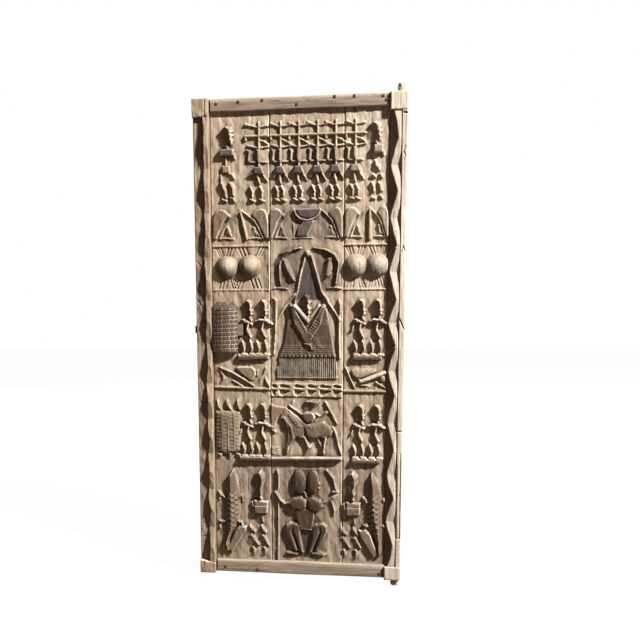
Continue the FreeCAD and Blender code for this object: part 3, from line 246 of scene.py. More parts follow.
class Carving:
    """Height above a board's face at each place of a grid, and how far its dark and pale marks
    cover it, painted shade and painted highlights among them.
    """

    def __init__(self, x, z):
        self.x, self.z = x, z
        self.height = np.zeros((len(z), len(x)))
        self.stains_and_painted_light = {kind: np.zeros_like(self.height) for kind in ("patina_and_shade", "slate", "rubbed_and_highlight")}

    def window(self, x0, x1, z0, z1):
        """The part of the grid in a box, with the places' x and z spread over it."""
        a, b = np.searchsorted(self.x, (x0, x1))
        c, d = np.searchsorted(self.z, (z0, z1))
        part = (slice(c, d), slice(a, b))
        grid_x, grid_z = np.meshgrid(self.x[a:b], self.z[c:d])
        return part, grid_x, grid_z


# How far figures and heads stand out of the ground, how deep and high scars may reach, the floor
# of the bolt's way, and the height over which only the tips of the bosses stand, free of soot and
# painted shade
FIGURE, HEAD = 19.0, 24.0
DEEPEST, HIGHEST = -3.5, 29.9
BOLT_WAY = -11.0
CLEAN_TIP = 29


class Pen:
    """Carves figures from its own origin, mirrored left to right where turn is -1."""

    def __init__(self, carving, x=0.0, z=0.0, turn=1):
        self.carving, self.x, self.z, self.turn = carving, x, z, turn

    def at(self, x, z, turn=1):
        return Pen(self.carving, x, z, turn)

    def place(self, x, z):
        return self.x + self.turn * x, self.z + z

    def spread(self, points, margin):
        places = np.array([self.place(x, z) for x, z in points])
        low, high = places.min(0) - margin, places.max(0) + margin
        return places, *self.carving.window(low[0], high[0], low[1], high[1])

    def raise_to(self, part, inside, stand, shoulder, crest=0.0):
        """Height h = stand * (1 - (1 - t)^p)^(1/p) with t the way in from the edge over the
        shoulder's width: a steep side that rounds over to a flat top. With a crest, a share of
        the way across from lower left to upper right, the top is whittled to a ridge there:
        h = stand * min((s / crest)^1.25, ((1 - s) / (1 - crest))^0.7)."""
        power = 2.3
        t = np.clip(inside / shoulder, 0, 1)
        rise = stand * (1 - (1 - t) ** power) ** (1 / power)
        if crest:
            s = self.way_across(inside > 0)
            up, down = (s / crest) ** 1.25, ((1 - s) / (1 - crest)) ** 0.7
            rise = np.minimum(rise, stand * np.minimum(up, down))
        height = self.carving.height
        height[part] = np.maximum(height[part], np.where(inside > 0, rise, -99))

    @staticmethod
    def way_across(within):
        """How far each place lies along its own slanting run through the shape, from 0 at the
        lower left to 1 at the upper right."""
        runs = []
        for mask in (within, within[::-1, ::-1]):
            run = mask.astype(float)
            for row in range(1, len(run)):
                run[row, 1:] += mask[row, 1:] * run[row - 1, :-1]
            runs.append(run)
        below, above = runs[0], runs[1][::-1, ::-1]
        return np.clip((below - 0.5) / np.maximum(below + above - 1, 1), 0, 1)

    def limb(self, *route, stand=FIGURE, shoulder=7.0, crest=0.0):
        """A whittled limb along points (x, z, half width)."""
        widest = max(r for _, _, r in route)
        places, part, x, z = self.spread([(a, b) for a, b, _ in route], widest + 2)
        inside = np.full(x.shape, -99.0)
        for start, end, (_, _, r0), (_, _, r1) in zip(places, places[1:], route, route[1:]):
            t, away = self.nearest(x, z, start, end)
            inside = np.maximum(inside, r0 + t * (r1 - r0) - away)
        self.raise_to(part, inside + 0.6, stand, min(shoulder, widest), crest)

    def slab(self, *corners, stand=FIGURE, shoulder=5.0, crest=0.0):
        """A raised shape with straight sides."""
        places, part, x, z = self.spread(corners, 2)
        self.raise_to(part, self.depth_in(places, x, z) + 0.6, stand, shoulder, crest)

    @staticmethod
    def nearest(x, z, start, end):
        """For each place, how far along a line from start to end its nearest point lies, from 0
        to 1, and how far away that is."""
        run = end - start
        u, v = x - start[0], z - start[1]
        t = np.clip((u * run[0] + v * run[1]) / max(run @ run, 1e-9), 0, 1)
        return t, np.hypot(u - t * run[0], v - t * run[1])

    def depth_in(self, places, x, z):
        """How far each place is inside a closed outline; less than zero outside."""
        away = np.full(x.shape, 1e9)
        within = np.zeros(x.shape, bool)
        for start, end in zip(places, np.roll(places, -1, 0)):
            away = np.minimum(away, self.nearest(x, z, start, end)[1])
            (x0, z0), (x1, z1) = start, end
            crosses = (z0 > z) != (z1 > z)
            with np.errstate(divide="ignore", invalid="ignore"):
                within ^= crosses & (x < (x1 - x0) * (z - z0) / (z1 - z0) + x0)
        return np.where(within, away, -away)

    def oval(self, x, z, half_width, half_height, stand=FIGURE, flat=2.0, lean=0.0):
        """A dome over an ellipse that leans by an angle: h = stand * (1 - r^flat)^(1/flat)."""
        cx, cz = self.place(x, z)
        reach = max(half_width, half_height) + 2
        part, gx, gz = self.carving.window(cx - reach, cx + reach, cz - reach, cz + reach)
        c, s = math.cos(lean * self.turn), math.sin(lean * self.turn)
        u = ((gx - cx) * c + (gz - cz) * s) / half_width
        v = (-(gx - cx) * s + (gz - cz) * c) / half_height
        r = np.hypot(u, v)
        rise = stand * (1 - np.clip(r, 0, 1) ** flat) ** (1 / flat)
        height = self.carving.height
        height[part] = np.maximum(height[part], np.where(r < 1, rise, -99))

    def groove(self, *route, width=3.5, depth=4.0):
        """A cut along a route, rounded at the bottom, or a raised line where the depth is less
        than zero."""
        places, part, x, z = self.spread(route, width)
        away = np.full(x.shape, 1e9)
        for start, end in zip(places, places[1:]):
            away = np.minimum(away, self.nearest(x, z, start, end)[1])
        cut = depth * np.clip(1 - (away / (width / 2 + 0.9)) ** 2, 0, 1)
        self.carving.height[part] -= cut

    def hollow(self, *corners, depth=9.0, slope=2.5):
        """A shape cut down into the wood, its sides falling over the slope's width."""
        places, part, x, z = self.spread(corners, 1)
        self.carving.height[part] -= depth * np.clip(self.depth_in(places, x, z) / slope, 0, 1)

    def ribs(self, corners, pitch, lean=0.0, depth=4.0, share=0.5, start=0.0):
        """Parallel grooves inside an outline: lean is the angle of the grooves from upright, and
        a groove runs through the start."""
        places, part, x, z = self.spread(corners, 2)
        within = self.depth_in(places, x, z) > 0
        across = ((x - start) * math.cos(lean) + z * math.sin(lean)) / pitch
        wave = np.clip((np.cos(2 * math.pi * across) - 1 + 2 * share) / (2 * share), 0, 1)
        self.carving.height[part] -= np.where(within, depth * wave, 0)

    def stain_and_paint_light(self, *corners, amount=1.0, soft=8.0, kind="patina_and_shade"):
        """Dark handling or pale rubbing over an outline, fading out over a few millimetres; it also
        paints shade and highlights.
        """
        places, part, x, z = self.spread(corners, soft)
        inside = self.depth_in(places, x, z)
        stain_and_painted_light_share = self.carving.stains_and_painted_light[kind][part]
        stain_and_painted_light_share[:] = np.maximum(stain_and_painted_light_share, amount * np.clip(inside / soft + 0.5, 0, 1))


COLUMN_COUNTS, ROW_COUNT = (100, 109, 73), 800
columns = {name: np.linspace(left, right, count) for (name, (left, right)), count
           in zip(PLANKS.items(), COLUMN_COUNTS)}
carving = Carving(np.concatenate(list(columns.values())), np.linspace(LOW, HIGH, ROW_COUNT))
pen = Pen(carving)


def circle(x, z, radius, count=16):
    """Corners of a round outline."""
    return [(x + radius * math.cos(turn), z + radius * math.sin(turn))
            for turn in np.linspace(0, 2 * math.pi, count)]


def carve_leaf(p, left, right, low, high):
    """A leaf, as the dancers' legs are whittled."""
    width, length = right - left, high - low
    p.slab((left + 0.45 * width, high), (left + 0.7 * width, high - 0.05 * length),
           (right, low + 0.6 * length), (right - 0.12 * width, low + 0.12 * length),
           (right - 0.3 * width, low), (left + 0.35 * width, low),
           (left + 0.05 * width, low + 0.3 * length), (left, low + 0.5 * length),
           (left + 0.2 * width, low + 0.8 * length), stand=15, shoulder=4, crest=0.84)


def carve_dancer(p, left):
    """A dancer under a tall mask with two cross bars: pole, head, bent arms, skirt and two legs.
    The left side reaches as far as the given width."""
    p.limb((0, 262, 3), (0, 112, 3.2), stand=9)
    p.limb((-left + 4, 257, 3.2), (-6, 248, 3), (8, 249, 3), (30, 252, 3), stand=7, shoulder=4)
    p.oval(-left + 5, 257, 5, 6, stand=10)
    p.limb((-left + 2, 219, 4), (32, 219, 4), stand=10, shoulder=4)
    p.limb((-left + 3, 219, 4.5), (-left + 4, 209, 4.5), stand=10)
    p.limb((4, 205, 4.5), (18, 199, 5), (32, 190, 3.5), stand=10, crest=0.7)
    p.slab((-3, 214), (2, 214), (2, 176), (-8, 178), (-3, 192), (-8, 206), stand=12, crest=0.85)
    p.limb((-0.8 * left, 190, 2.4), (0, 181, 2.4), (34, 186, 2.4), stand=7, shoulder=3)
    p.slab((-left + 4, 178), (-0.6 * left, 174), (-0.6 * left + 2, 166), (-left + 6, 168), stand=11,
           crest=0.6)
    p.limb((-0.66 * left, 168, 3.4), (-0.72 * left, 142, 3.4), stand=10)
    p.slab((-8, 177), (2, 176), (3, 138), (0, 130), (-14, 132), (-12, 150), stand=15, crest=0.7)
    p.limb((-0.62 * left, 136, 3.4), (0, 136, 3.4), (24, 136, 3), stand=8)
    p.stain_and_paint_light((-left, 180), (-left, 130), (26, 131), (4, 142), (3, 178), amount=0.6, soft=3)
    p.slab((-20, 106), (-12, 100), (-18, 88), (-left + 6, 78), (-left, 84), stand=15, shoulder=3,
           crest=0.8)
    p.slab((9, 118), (14, 104), (30, 74), (26, 73), (8, 96), stand=14, shoulder=3, crest=0.5)
    p.slab((-13, 120), (10, 120), (18, 97), (-20, 97), stand=18, shoulder=3)
    p.stain_and_paint_light((-14, 122), (11, 122), (19, 96), (-21, 96), amount=0.95, soft=3, kind="slate")
    p.slab((-16, 96), (2, 96), (3, 64), (-18, 66), stand=13, crest=0.8)
    carve_leaf(p, -left + 6, -left + 31, 16, 60)
    carve_leaf(p, -10, 15, 16, 60)
    for heel in (-left + 6, -10):
        p.slab((heel, -1), (heel + 8, 18), (heel + 16, 20), (heel + 30, 12), (heel + 24, 5),
               stand=13, shoulder=3, crest=0.8)


DANCE_FLOOR = 1303
for axis, reach in ((-463, 48), (-391, 36), (-331, 36), (-269, 37), (-210, 37), (-147, 34)):
    carve_dancer(pen.at(axis, DANCE_FLOOR), reach)

# The two elders at the outer ends of the dancers' row, each a long head over a box and two legs
ELDER_HEAD = ((-8, 255), (4, 250), (9, 240), (6, 232), (12, 226), (6, 218), (11, 208), (7, 202),
              (9, 196), (2, 189), (-14, 187), (-30, 195), (-39, 208), (-38, 224), (-26, 244))
pen.at(-558, DANCE_FLOOR).slab(*ELDER_HEAD, stand=27, shoulder=5, crest=0.82)
elder = pen.at(-570, DANCE_FLOOR)
elder.limb((2, 190, 4), (6, 176, 6), stand=16)
elder.slab((-23, 180), (23, 179), (24, 159), (-23, 159), stand=19, shoulder=3)
elder.stain_and_paint_light((-23, 180), (23, 180), (23, 159), (-23, 159), amount=0.8, soft=3, kind="slate")
elder.limb((22, 168, 5), (26, 150, 4), stand=10)
elder.limb((-5, 156, 5), (-5, 130, 5), stand=12, crest=0.7)
elder.slab((-16, 128), (8, 127), (10, 104), (-16, 104), stand=11, shoulder=3)
elder.slab((-24, 100), (-19, 100), (-17, 78), (-25, 78), stand=10, crest=0.8)
elder.slab((0, 104), (22, 104), (27, 84), (10, 80), (-2, 86), stand=11, crest=0.75)
elder.slab((-21, 78), (-10, 72), (0, 48), (0, 22), (-18, 18), (-30, 48), stand=16, crest=0.72)
elder.slab((6, 74), (18, 72), (26, 60), (26, 26), (10, 24), (2, 48), stand=15, crest=0.66)
elder.slab((-26, 8), (-18, 24), (0, 16), (-2, 8), stand=12, crest=0.75)
elder.slab((6, 26), (24, 26), (26, 8), (8, 6), stand=12, crest=0.8)
elder = pen.at(-74, DANCE_FLOOR)
elder.slab(*ELDER_HEAD, stand=23, shoulder=5, crest=0.8)
elder.limb((-6, 190, 4), (-2, 178, 6), stand=16)
elder.slab((-14, 180), (16, 180), (16, 155), (-14, 155), stand=19, shoulder=3)
elder.limb((16, 160, 4), (18, 148, 4), stand=9)
elder.slab((-12, 134), (-8, 134), (2, 118), (8, 118), (8, 98), (-8, 98), (-16, 106), stand=12,
           crest=0.6)
elder.slab((-30, 78), (-20, 88), (-12, 90), (-4, 76), (-18, 76), stand=11, crest=0.7)
elder.slab((2, 88), (14, 90), (18, 78), (12, 72), (2, 74), stand=12, crest=0.7)
elder.slab((-22, 64), (-14, 64), (-8, 48), (-9, 32), (-18, 30), (-24, 50), stand=13, crest=0.55)
elder.slab((0, 66), (16, 60), (17, 34), (4, 30), (2, 48), stand=12, crest=0.35)
elder.slab((-26, 6), (-16, 20), (-4, 10), (-10, 6), stand=11, crest=0.7)
elder.slab((2, 20), (14, 21), (18, 10), (6, 4), stand=11, crest=0.75)


def carve_bird(p, wide):
    """A seated bird: its round wing outside, its beak spread over it like a roof from the top of
    a pole, a small arched seat below. It is as wide as the given share says."""
    def across(*spots):
        return [(x * wide, *rest) for x, *rest in spots]

    p.slab(*across((40, 76), (46, 86), (56, 94), (69, 98), (82, 93), (90, 80), (94, 58), (95, 2),
                   (84, 0), (60, 54), (50, 66)), stand=12, shoulder=3)
    p.stain_and_paint_light(*across((46, 78), (58, 94), (76, 93), (92, 60), (94, 2), (84, 0), (62, 56)),
            amount=0.32, soft=6)
    p.slab(*across((36, 80), (44, 84), (50, 76), (44, 66), (36, 70)), stand=12, crest=0.7)
    p.limb(*across((-3, 95, 3), (18, 79, 5), (44, 58, 6), (58, 36, 5), (75, 1, 3.5)), stand=12,
           crest=0.85)
    p.limb(*across((27, 0, 3), (50, 1, 5), (76, 0, 3)), stand=8, crest=0.7)
    p.slab(*across((32, 6), (37, 34), (44, 42), (52, 36), (66, 6)), stand=9, shoulder=3, crest=0.85)
    p.groove(*across((52, 30), (60, 8)), width=3, depth=4)


BIRD_FLOOR = 1191
for top, turn, wide in ((-525, -1, 1.0), (-527, 1, 1.0), (-350, -1, 0.84), (-262, 1, 0.8),
                        (-102, -1, 0.82), (-100, 1, 0.66)):
    carve_bird(pen.at(top, BIRD_FLOOR, turn), wide)
pen.limb((-528, 1284, 4), (-506, 1192, 5), stand=10, shoulder=4)
pen.limb((-99, 1284, 4), (-98, 1186, 5.5), stand=11, shoulder=4)

# A bowl that hangs under the dancers' floor, over a flared foot
bowl = [(-303 + 38 * math.cos(turn), 1286 - 31 * math.sin(turn))
        for turn in np.linspace(0, math.pi, 15)]
pen.limb(*[(-303 + 43 * math.cos(turn), 1286 - 37 * math.sin(turn), 3)
           for turn in np.linspace(0.1, math.pi - 0.1, 13)], stand=13, shoulder=3)
pen.slab(*bowl, stand=12, shoulder=4)
pen.stain_and_paint_light(*bowl, amount=1.0, soft=3, kind="slate")
pen.slab((-315, 1247), (-281, 1247), (-290, 1222), (-303, 1197), (-339, 1196), (-334, 1220),
         stand=10, shoulder=3)
pen.stain_and_paint_light((-315, 1247), (-281, 1247), (-303, 1197), (-339, 1196), amount=0.85, soft=4, kind="slate")
pen.limb((-349, 1190, 2), (-315, 1192, 4), (-286, 1190, 2), stand=8, crest=0.7)
pen.limb((-350, 1240, 2.5), (-347, 1200, 3), stand=3, shoulder=3)

# Two pairs of round bosses between borders, with a point in the middle: painted shade at the
# lower left of each, and a painted highlight at its upper right, towards the lamp
UPPER_BORDER, LOWER_BORDER = 1167, 1021
BOSS_POINT = 29.6
for left, right in ((-623, -429), (-182, -39)):
    for level in (UPPER_BORDER, LOWER_BORDER):
        pen.limb((left, level, 2.6), (right, level, 2.6), stand=3.5, shoulder=3)
pen.limb((-431, UPPER_BORDER, 2.6), (-431, LOWER_BORDER, 2.6), stand=3.5, shoulder=3)
for x, z in ((-575, 1098), (-497, 1100), (-143, 1099), (-72, 1100)):
    pen.oval(x, z, 37.5, 37.5, stand=26)
    pen.stain_and_paint_light(*circle(x - 12, z - 10, 24), amount=0.8, soft=20)
    pen.stain_and_paint_light(*circle(x + 8, z + 8, 20), amount=0.4, soft=16, kind="rubbed_and_highlight")
    pen.oval(x, z, 5, 5, stand=BOSS_POINT)

# Six rays run from the upper border towards each boss, given by where they start and end; those
# under it are the same ones turned half round about its middle
RAYS = {-575: ((-613, -600), (-604, -594), (-595, -587), (-570, -577), (-558, -567), (-546, -558)),
        -497: ((-536, -524), (-523, -512), (-509, -499), (-465, -479), (-453, -468), (-441, -460)),
        -143: ((-176, -163), (-167, -157), (-157, -150), (-133, -139), (-123, -131), (-113, -124)),
        -72: ((-100, -88), (-89, -79), (-78, -71), (-60, -68), (-50, -60), (-42, -53))}
for centre, rays in RAYS.items():
    for outer, inner in rays:
        pen.groove((outer, UPPER_BORDER - 5), (inner, 1134), width=4, depth=5)
        pen.groove((2 * centre - outer, LOWER_BORDER + 5), (2 * centre - inner, 1058), width=4,
                   depth=5)


def carve_long_bird(p):
    """A long-necked bird: neck and back bent round in one band, a hatched wing and a foot."""
    p.limb((-20, 160, 2.5), (-60, 151, 6), (-86, 134, 9), (-97, 110, 12), (-95, 78, 9),
           (-91, 40, 7), stand=18, crest=0.84)
    p.slab((-84, 132), (-66, 124), (-50, 92), (-38, 50), (-58, 55), (-78, 74), (-86, 98), stand=15,
           shoulder=3, crest=0.6)
    p.ribs([(-88, 122), (-64, 114), (-50, 78), (-60, 68), (-88, 86)], 7.0, lean=-1.15, depth=4.5,
           share=0.4)
    p.limb((-114, 26, 2), (-92, 29, 5), (-66, 26, 2), stand=9, crest=0.7)
    p.stain_and_paint_light((-20, 166), (-88, 145), (-112, 110), (-100, 36), (-84, 36), (-84, 110), (-60, 145),
            amount=0.9, soft=5)


carve_long_bird(pen.at(-305, 998))
carve_long_bird(pen.at(-303, 998, turn=-1))

# The roof poles between them: a ball on top, two poles that part and run on down to the ground,
# and dark stains where smoke got in between
pen.oval(-303, 1139, 11, 13, stand=17)
pen.limb((-310, 1136, 5), (-328, 1072, 6), (-339, 1010, 6), (-348, 980, 5), stand=15, crest=0.8)
pen.limb((-292, 1134, 5), (-272, 1066, 6), (-258, 1012, 6), (-236, 985, 5), stand=15, crest=0.8)
pen.stain_and_paint_light((-304, 1142), (-258, 1000), (-250, 985), (-350, 985), (-336, 1010), amount=1.0, soft=5,
          kind="slate")
pen.stain_and_paint_light((-395, 1292), (-215, 1292), (-215, 1180), (-395, 1180), amount=0.5, soft=30, kind="slate")
pen.stain_and_paint_light((-385, 1160), (-318, 1160), (-340, 1030), (-400, 1010), amount=0.65, soft=16,
          kind="slate")
pen.stain_and_paint_light((-290, 1170), (-225, 1150), (-215, 1010), (-262, 1020), amount=0.65, soft=16,
          kind="slate")
pen.limb((-336, 1010, 5), (-365, 985, 5), (-405, 925, 4), stand=14, crest=0.75)
pen.limb((-258, 1012, 5), (-240, 985, 5), (-194, 918, 4), stand=14, crest=0.75)

# The robed elder under the roof poles: a head in profile, a crossed shawl with raised lines, a
# belt and a row of beads over a skirt whose fringe hangs in cords. A cord is three columns of
# the grid wide, so that all are cut alike.
MIDDLE_LEFT, MIDDLE_RIGHT = PLANKS["middle_plank"]
MIDDLE_WIDTH, MIDDLE_GAPS = MIDDLE_RIGHT - MIDDLE_LEFT, COLUMN_COUNTS[1] - 1
ROBE = ((-374, 955), (-360, 976), (-342, 965), (-299, 904), (-262, 966), (-246, 974), (-236, 950),
        (-209, 800), (-398, 798), (-380, 850), (-368, 925))
pen.slab(*ROBE, stand=11, shoulder=4)
pen.stain_and_paint_light(*ROBE, amount=0.88, soft=5)
pen.slab((-398, 797), (-207, 797), (-200, 722), (-408, 722), stand=9, shoulder=2.5)
pen.ribs([(-400, 794), (-205, 794), (-201, 724), (-408, 724)], 3 * MIDDLE_WIDTH / MIDDLE_GAPS,
         depth=11, share=0.5, start=MIDDLE_LEFT + MIDDLE_WIDTH / 2 / MIDDLE_GAPS)
for side, top, foot in ((-1, 964, 846), (1, 960, 852)):
    shawl = pen.at(-301, 0, side)
    band = ((60, top + 10), (46, top), (2, 886), (-4, foot), (10, foot - 2), (44, 905))
    shawl.slab(*band, stand=20, shoulder=3)
    shawl.stain_and_paint_light(*band, amount=0.7, soft=4)
    shawl.limb((50, 966, 2.2), (3, 880, 2.2), stand=22, shoulder=2)
    for step in range(6):
        shawl.groove((5 + 4.5 * step, 884 + 7.5 * step), (16 + 4.5 * step, 876 + 7.5 * step),
                     width=3, depth=5)
    for step in range(3):
        arc = [(54 + 14 * math.cos(turn), 898 + 7 * step + 7 * math.sin(turn))
               for turn in np.linspace(0.3, 2.8, 7)]
        shawl.groove(*arc, width=2.4, depth=-2.6)
    for step in range(5):
        shawl.groove((12 + 3 * step, 868 - 7 * step), (36 + 3 * step, 854 - 7 * step), width=2.4,
                     depth=-2.4)
    for step in range(5):
        z = 805 + 7 * step
        shawl.groove((20, z), (90 - 2.5 * step, z), width=2.4, depth=-2.6)
pen.slab((-353, 968), (-343, 973), (-293, 920), (-299, 906), stand=23, shoulder=3)
pen.slab((-258, 968), (-264, 973), (-303, 920), (-299, 906), stand=21, shoulder=3)
# A painted highlight along the top of the left band
pen.stain_and_paint_light((-353, 970), (-341, 973), (-293, 920), (-299, 906), amount=0.4, soft=3, kind="rubbed_and_highlight")
pen.slab((-323, 843), (-286, 843), (-282, 820), (-300, 812), (-321, 814), stand=22, shoulder=4,
         crest=0.8)
pen.slab((-306, 814), (-292, 814), (-292, 796), (-306, 796), stand=16, shoulder=3, crest=0.6)
pen.slab((-309, 1004), (-296, 1000), (-294, 990), (-289, 982), (-295, 975), (-295, 968),
         (-290, 958), (-295, 950), (-291, 944), (-296, 936), (-296, 918), (-306, 918), (-320, 938),
         (-330, 955), (-328, 978), (-320, 994), stand=HEAD, shoulder=4, crest=0.84)
pen.stain_and_paint_light((-309, 1004), (-298, 1000), (-300, 918), (-330, 955), (-326, 985), amount=0.9, soft=4)
for step in range(14):
    pen.oval(-391 + 13.6 * step, 799, 7.6, 7, stand=14)
pen.limb((-420, 990, 5), (-413, 985, 8), (-412, 900, 6), (-418, 802, 4), stand=13, crest=0.8)
pen.slab((-197, 990), (-188, 975), (-190, 945), (-198, 928), (-210, 950), (-212, 966), stand=14,
         crest=0.8)
pen.limb((-200, 922, 6), (-199, 860, 7), (-198, 792, 7), stand=13, crest=0.8)
pen.stain_and_paint_light((-397, 795), (-206, 798), (-201, 722), (-407, 722), amount=0.95)


def carve_profile_head(p, x, z, width, height):
    """A long head in profile, facing right: brow, nose, lips and chin along a sharp edge."""
    w, h = width / 2, height / 2
    p.slab((x + 0.3 * w, z + h), (x + 0.7 * w, z + 0.85 * h), (x + 0.92 * w, z + 0.45 * h),
           (x + 0.78 * w, z + 0.05 * h), (x + w, z - 0.18 * h), (x + 0.74 * w, z - 0.32 * h),
           (x + 0.92 * w, z - 0.52 * h), (x + 0.62 * w, z - 0.75 * h), (x + 0.2 * w, z - h),
           (x - 0.5 * w, z - 0.96 * h), (x - 0.84 * w, z - 0.72 * h), (x - w, z - 0.25 * h),
           (x - 0.88 * w, z + 0.25 * h), (x - 0.55 * w, z + 0.66 * h), (x - 0.1 * w, z + 0.94 * h),
           stand=HEAD, shoulder=4, crest=0.84)


def carve_couple_figure(p, arm_band=False):
    """One of a pair: a long head in profile, shoulders, waist and two leaf-shaped legs."""
    carve_profile_head(p, -6, 158, 40, 64)
    p.limb((0, 132, 6), (2, 120, 8), stand=17, crest=0.7)
    if arm_band:
        p.limb((-28, 112, 6), (-12, 114, 10), (10, 112, 10), (26, 107, 5), stand=20, shoulder=8,
               crest=0.66)
        p.limb((-16, 121, 3.5), (10, 119, 3.5), stand=21, shoulder=4)
    else:
        p.slab((-28, 121), (-14, 125), (4, 112), (14, 107), (10, 98), (-6, 104), (-22, 108),
               (-32, 80), (-40, 76), (-34, 96), stand=17, crest=0.78)
    p.slab((-28, 116), (2, 116), (-3, 92), (9, 64), (2, 50), (-18, 50), (-26, 66), (-20, 92),
           stand=18, crest=0.84)
    for x, top in ((-24, 52), (3, 54)):
        p.slab((x - 1, top), (x + 6, top - 8), (x + 11, 28), (x + 5, 9), (x - 8, 8), (x - 15, 14),
               (x - 12, 34), stand=16, crest=0.82)
        p.limb((x, 4, 5), (x + 13, 2, 4.5), stand=15, shoulder=4)


def carve_couples(floor, *pairs):
    for first, second in pairs:
        carve_couple_figure(pen.at(first, floor))
        carve_couple_figure(pen.at(second, floor), arm_band=True)


carve_couples(800, (-500, -449), (-121, -66))
pen.slab((-540, 804), (-434, 804), (-434, 788), (-540, 785), stand=16, shoulder=3)
pen.slab((-150, 804), (-54, 804), (-54, 788), (-150, 785), stand=16, shoulder=3)

# Crawling figures above a ground line; limbs laid out like slanting bars
pen.limb((-606, 757, 3.5), (-600, 738, 4), (-590, 722, 5), (-598, 709, 4), (-608, 697, 4), stand=9,
         crest=0.8)
pen.limb((-601, 754, 6), (-560, 736, 8), (-515, 710, 9), (-488, 694, 5), stand=13, crest=0.7)
pen.limb((-560, 712, 3), (-528, 692, 4), stand=9, crest=0.7)
pen.slab((-548, 757), (-540, 761), (-492, 760), (-481, 750), (-479, 735), (-490, 714), (-500, 714),
         (-512, 724), (-530, 738), stand=12, shoulder=3)
pen.limb((-445, 756, 4), (-458, 724, 4), (-484, 692, 4), stand=9, crest=0.75)
pen.limb((-474, 748, 4), (-474, 730, 3), stand=7)
pen.slab((-446, 724), (-430, 700), (-431, 688), (-444, 686), (-452, 700), stand=11, crest=0.8)
pen.limb((-622, 689, 4), (-540, 687, 4), (-429, 683, 4), stand=8, shoulder=3)
pen.slab((-153, 752), (-142, 757), (-72, 756), (-72, 748), (-120, 722), (-146, 716), (-155, 730),
         stand=12, shoulder=3, crest=0.25)
pen.slab((-137, 722), (-124, 722), (-124, 706), (-136, 706), stand=10, crest=0.8)
pen.limb((-124, 712, 5), (-84, 727, 7), (-44, 743, 6), stand=15, shoulder=5)
pen.stain_and_paint_light((-126, 718), (-44, 750), (-40, 736), (-120, 705), amount=0.6, soft=4, kind="rubbed_and_highlight")
pen.oval(-51, 722, 10, 13, stand=12)
pen.limb((-174, 757, 3), (-160, 722, 4), (-145, 690, 4), stand=11, crest=0.85)
pen.limb((-125, 701, 3), (-94, 697, 3), (-108, 684, 3), stand=6, shoulder=3)
pen.limb((-72, 708, 4), (-42, 690, 4), stand=10, crest=0.75)
pen.limb((-181, 679, 4), (-39, 679, 4), stand=8, shoulder=3)

# A chain of bow ties across the middle plank: boat-shaped hollows between dividers
pen.slab((-426, 704), (-184, 702), (-184, 656), (-426, 658), stand=6, shoulder=4)
for left, right in ((-426, -405), (-400, -362), (-349, -313), (-304, -272), (-263, -223),
                    (-217, -186)):
    pen.hollow((left, 697), (left + 9, 702), (right, 693), (right - 2, 687), (left + 3, 688),
               depth=12, slope=2)
    pen.hollow((left, 684), (left + 10, 682), (right + 3, 678), (right - 8, 671), (left + 12, 660),
               (left + 2, 665), depth=13, slope=2)


def carve_granary_wall(p, left, low, high, widths):
    """Columns of mud bricks between raised joints; every other column is shifted by half a
    course."""
    course = 13.0
    for number, width in enumerate(widths):
        p.groove((left, low), (left, high), width=2.6, depth=-2.0)
        for z in np.arange(low + course / 2 * (number % 2), high, course):
            p.groove((left, z), (left + width, z), width=2.6, depth=-2.0)
        left += width


# A granary with brick walls, three roof horns and three feet
pen.slab((-620, 606), (-560, 606), (-537, 602), (-536, 466), (-548, 460), (-590, 452), (-612, 462),
         (-621, 480), stand=13, shoulder=20)
carve_granary_wall(pen, -618, 468, 604, (20, 21, 21, 17))
# Painted shade down the granary's left side, where its barrel turns away from the lamp
pen.stain_and_paint_light((-622, 600), (-592, 600), (-590, 455), (-622, 465), amount=0.7, soft=12)
for left, peak, right in ((-623, -616, -600), (-598, -580, -563), (-560, -543, -534)):
    pen.slab((left, 610), (left + 2, 620), (peak, 649), (peak + 5, 640), (right, 608), stand=13,
             crest=0.78)
for left, right in ((-620, -598), (-580, -567), (-552, -534)):
    pen.slab((left, 456), (right, 456), (right - 4, 446), (left + 5, 436), stand=12, crest=0.75)

# The lower couples and the ledges that they stand on
carve_couples(446, (-502, -452), (-121, -66))
pen.slab((-537, 449), (-428, 447), (-184, 452), (-184, 440), (-300, 436), (-537, 433), stand=20,
         shoulder=4)
pen.slab((-152, 447), (-54, 447), (-56, 432), (-150, 431), stand=17, shoulder=3)
# Painted shade over the fronts of the four ledges, under their top edges
for left, right, low, high in ((-537, -184, 434, 446), (-152, -54, 429, 441),
                               (-540, -434, 783, 796), (-150, -54, 783, 796)):
    pen.stain_and_paint_light((left, low), (left, high), (right, high), (right, low), amount=0.85, soft=5)
pen.slab((-427, 482), (-402, 482), (-400, 454), (-427, 454), stand=5)
pen.ribs([(-425, 480), (-404, 480), (-402, 456), (-426, 456)], 7, lean=1.2, depth=4)

# The horse and its rider: an arched neck with a hatched mane, striding legs and a long tail; the
# rider has a wide head-dress, both arms out and a raised blade
pen.slab((-427, 633), (-415, 626), (-376, 622), (-370, 610), (-402, 589), (-410, 565), (-414, 546),
         (-427, 546), stand=9, shoulder=4)
pen.limb((-426, 543, 4), (-415, 536, 6), (-423, 527, 4), stand=11, crest=0.75)
pen.slab((-376, 622), (-364, 612), (-300, 560), (-316, 520), (-345, 520), (-360, 560), (-396, 586),
         stand=12, shoulder=4)
pen.slab((-400, 586), (-378, 590), (-352, 560), (-341, 521), (-361, 491), (-373, 457), (-394, 459),
         (-387, 500), (-388, 533), (-400, 565), stand=18, shoulder=4, crest=0.84)
pen.groove((-376, 575), (-367, 545), (-369, 500), (-383, 462), width=2.6, depth=-3)
pen.groove((-366, 613), (-300, 562), width=3, depth=-4)
for step in range(7):
    pen.groove((-372 + 5 * step, 601 - 7 * step), (-352 + 5 * step, 598 - 7 * step), width=1.6,
               depth=-4.5)
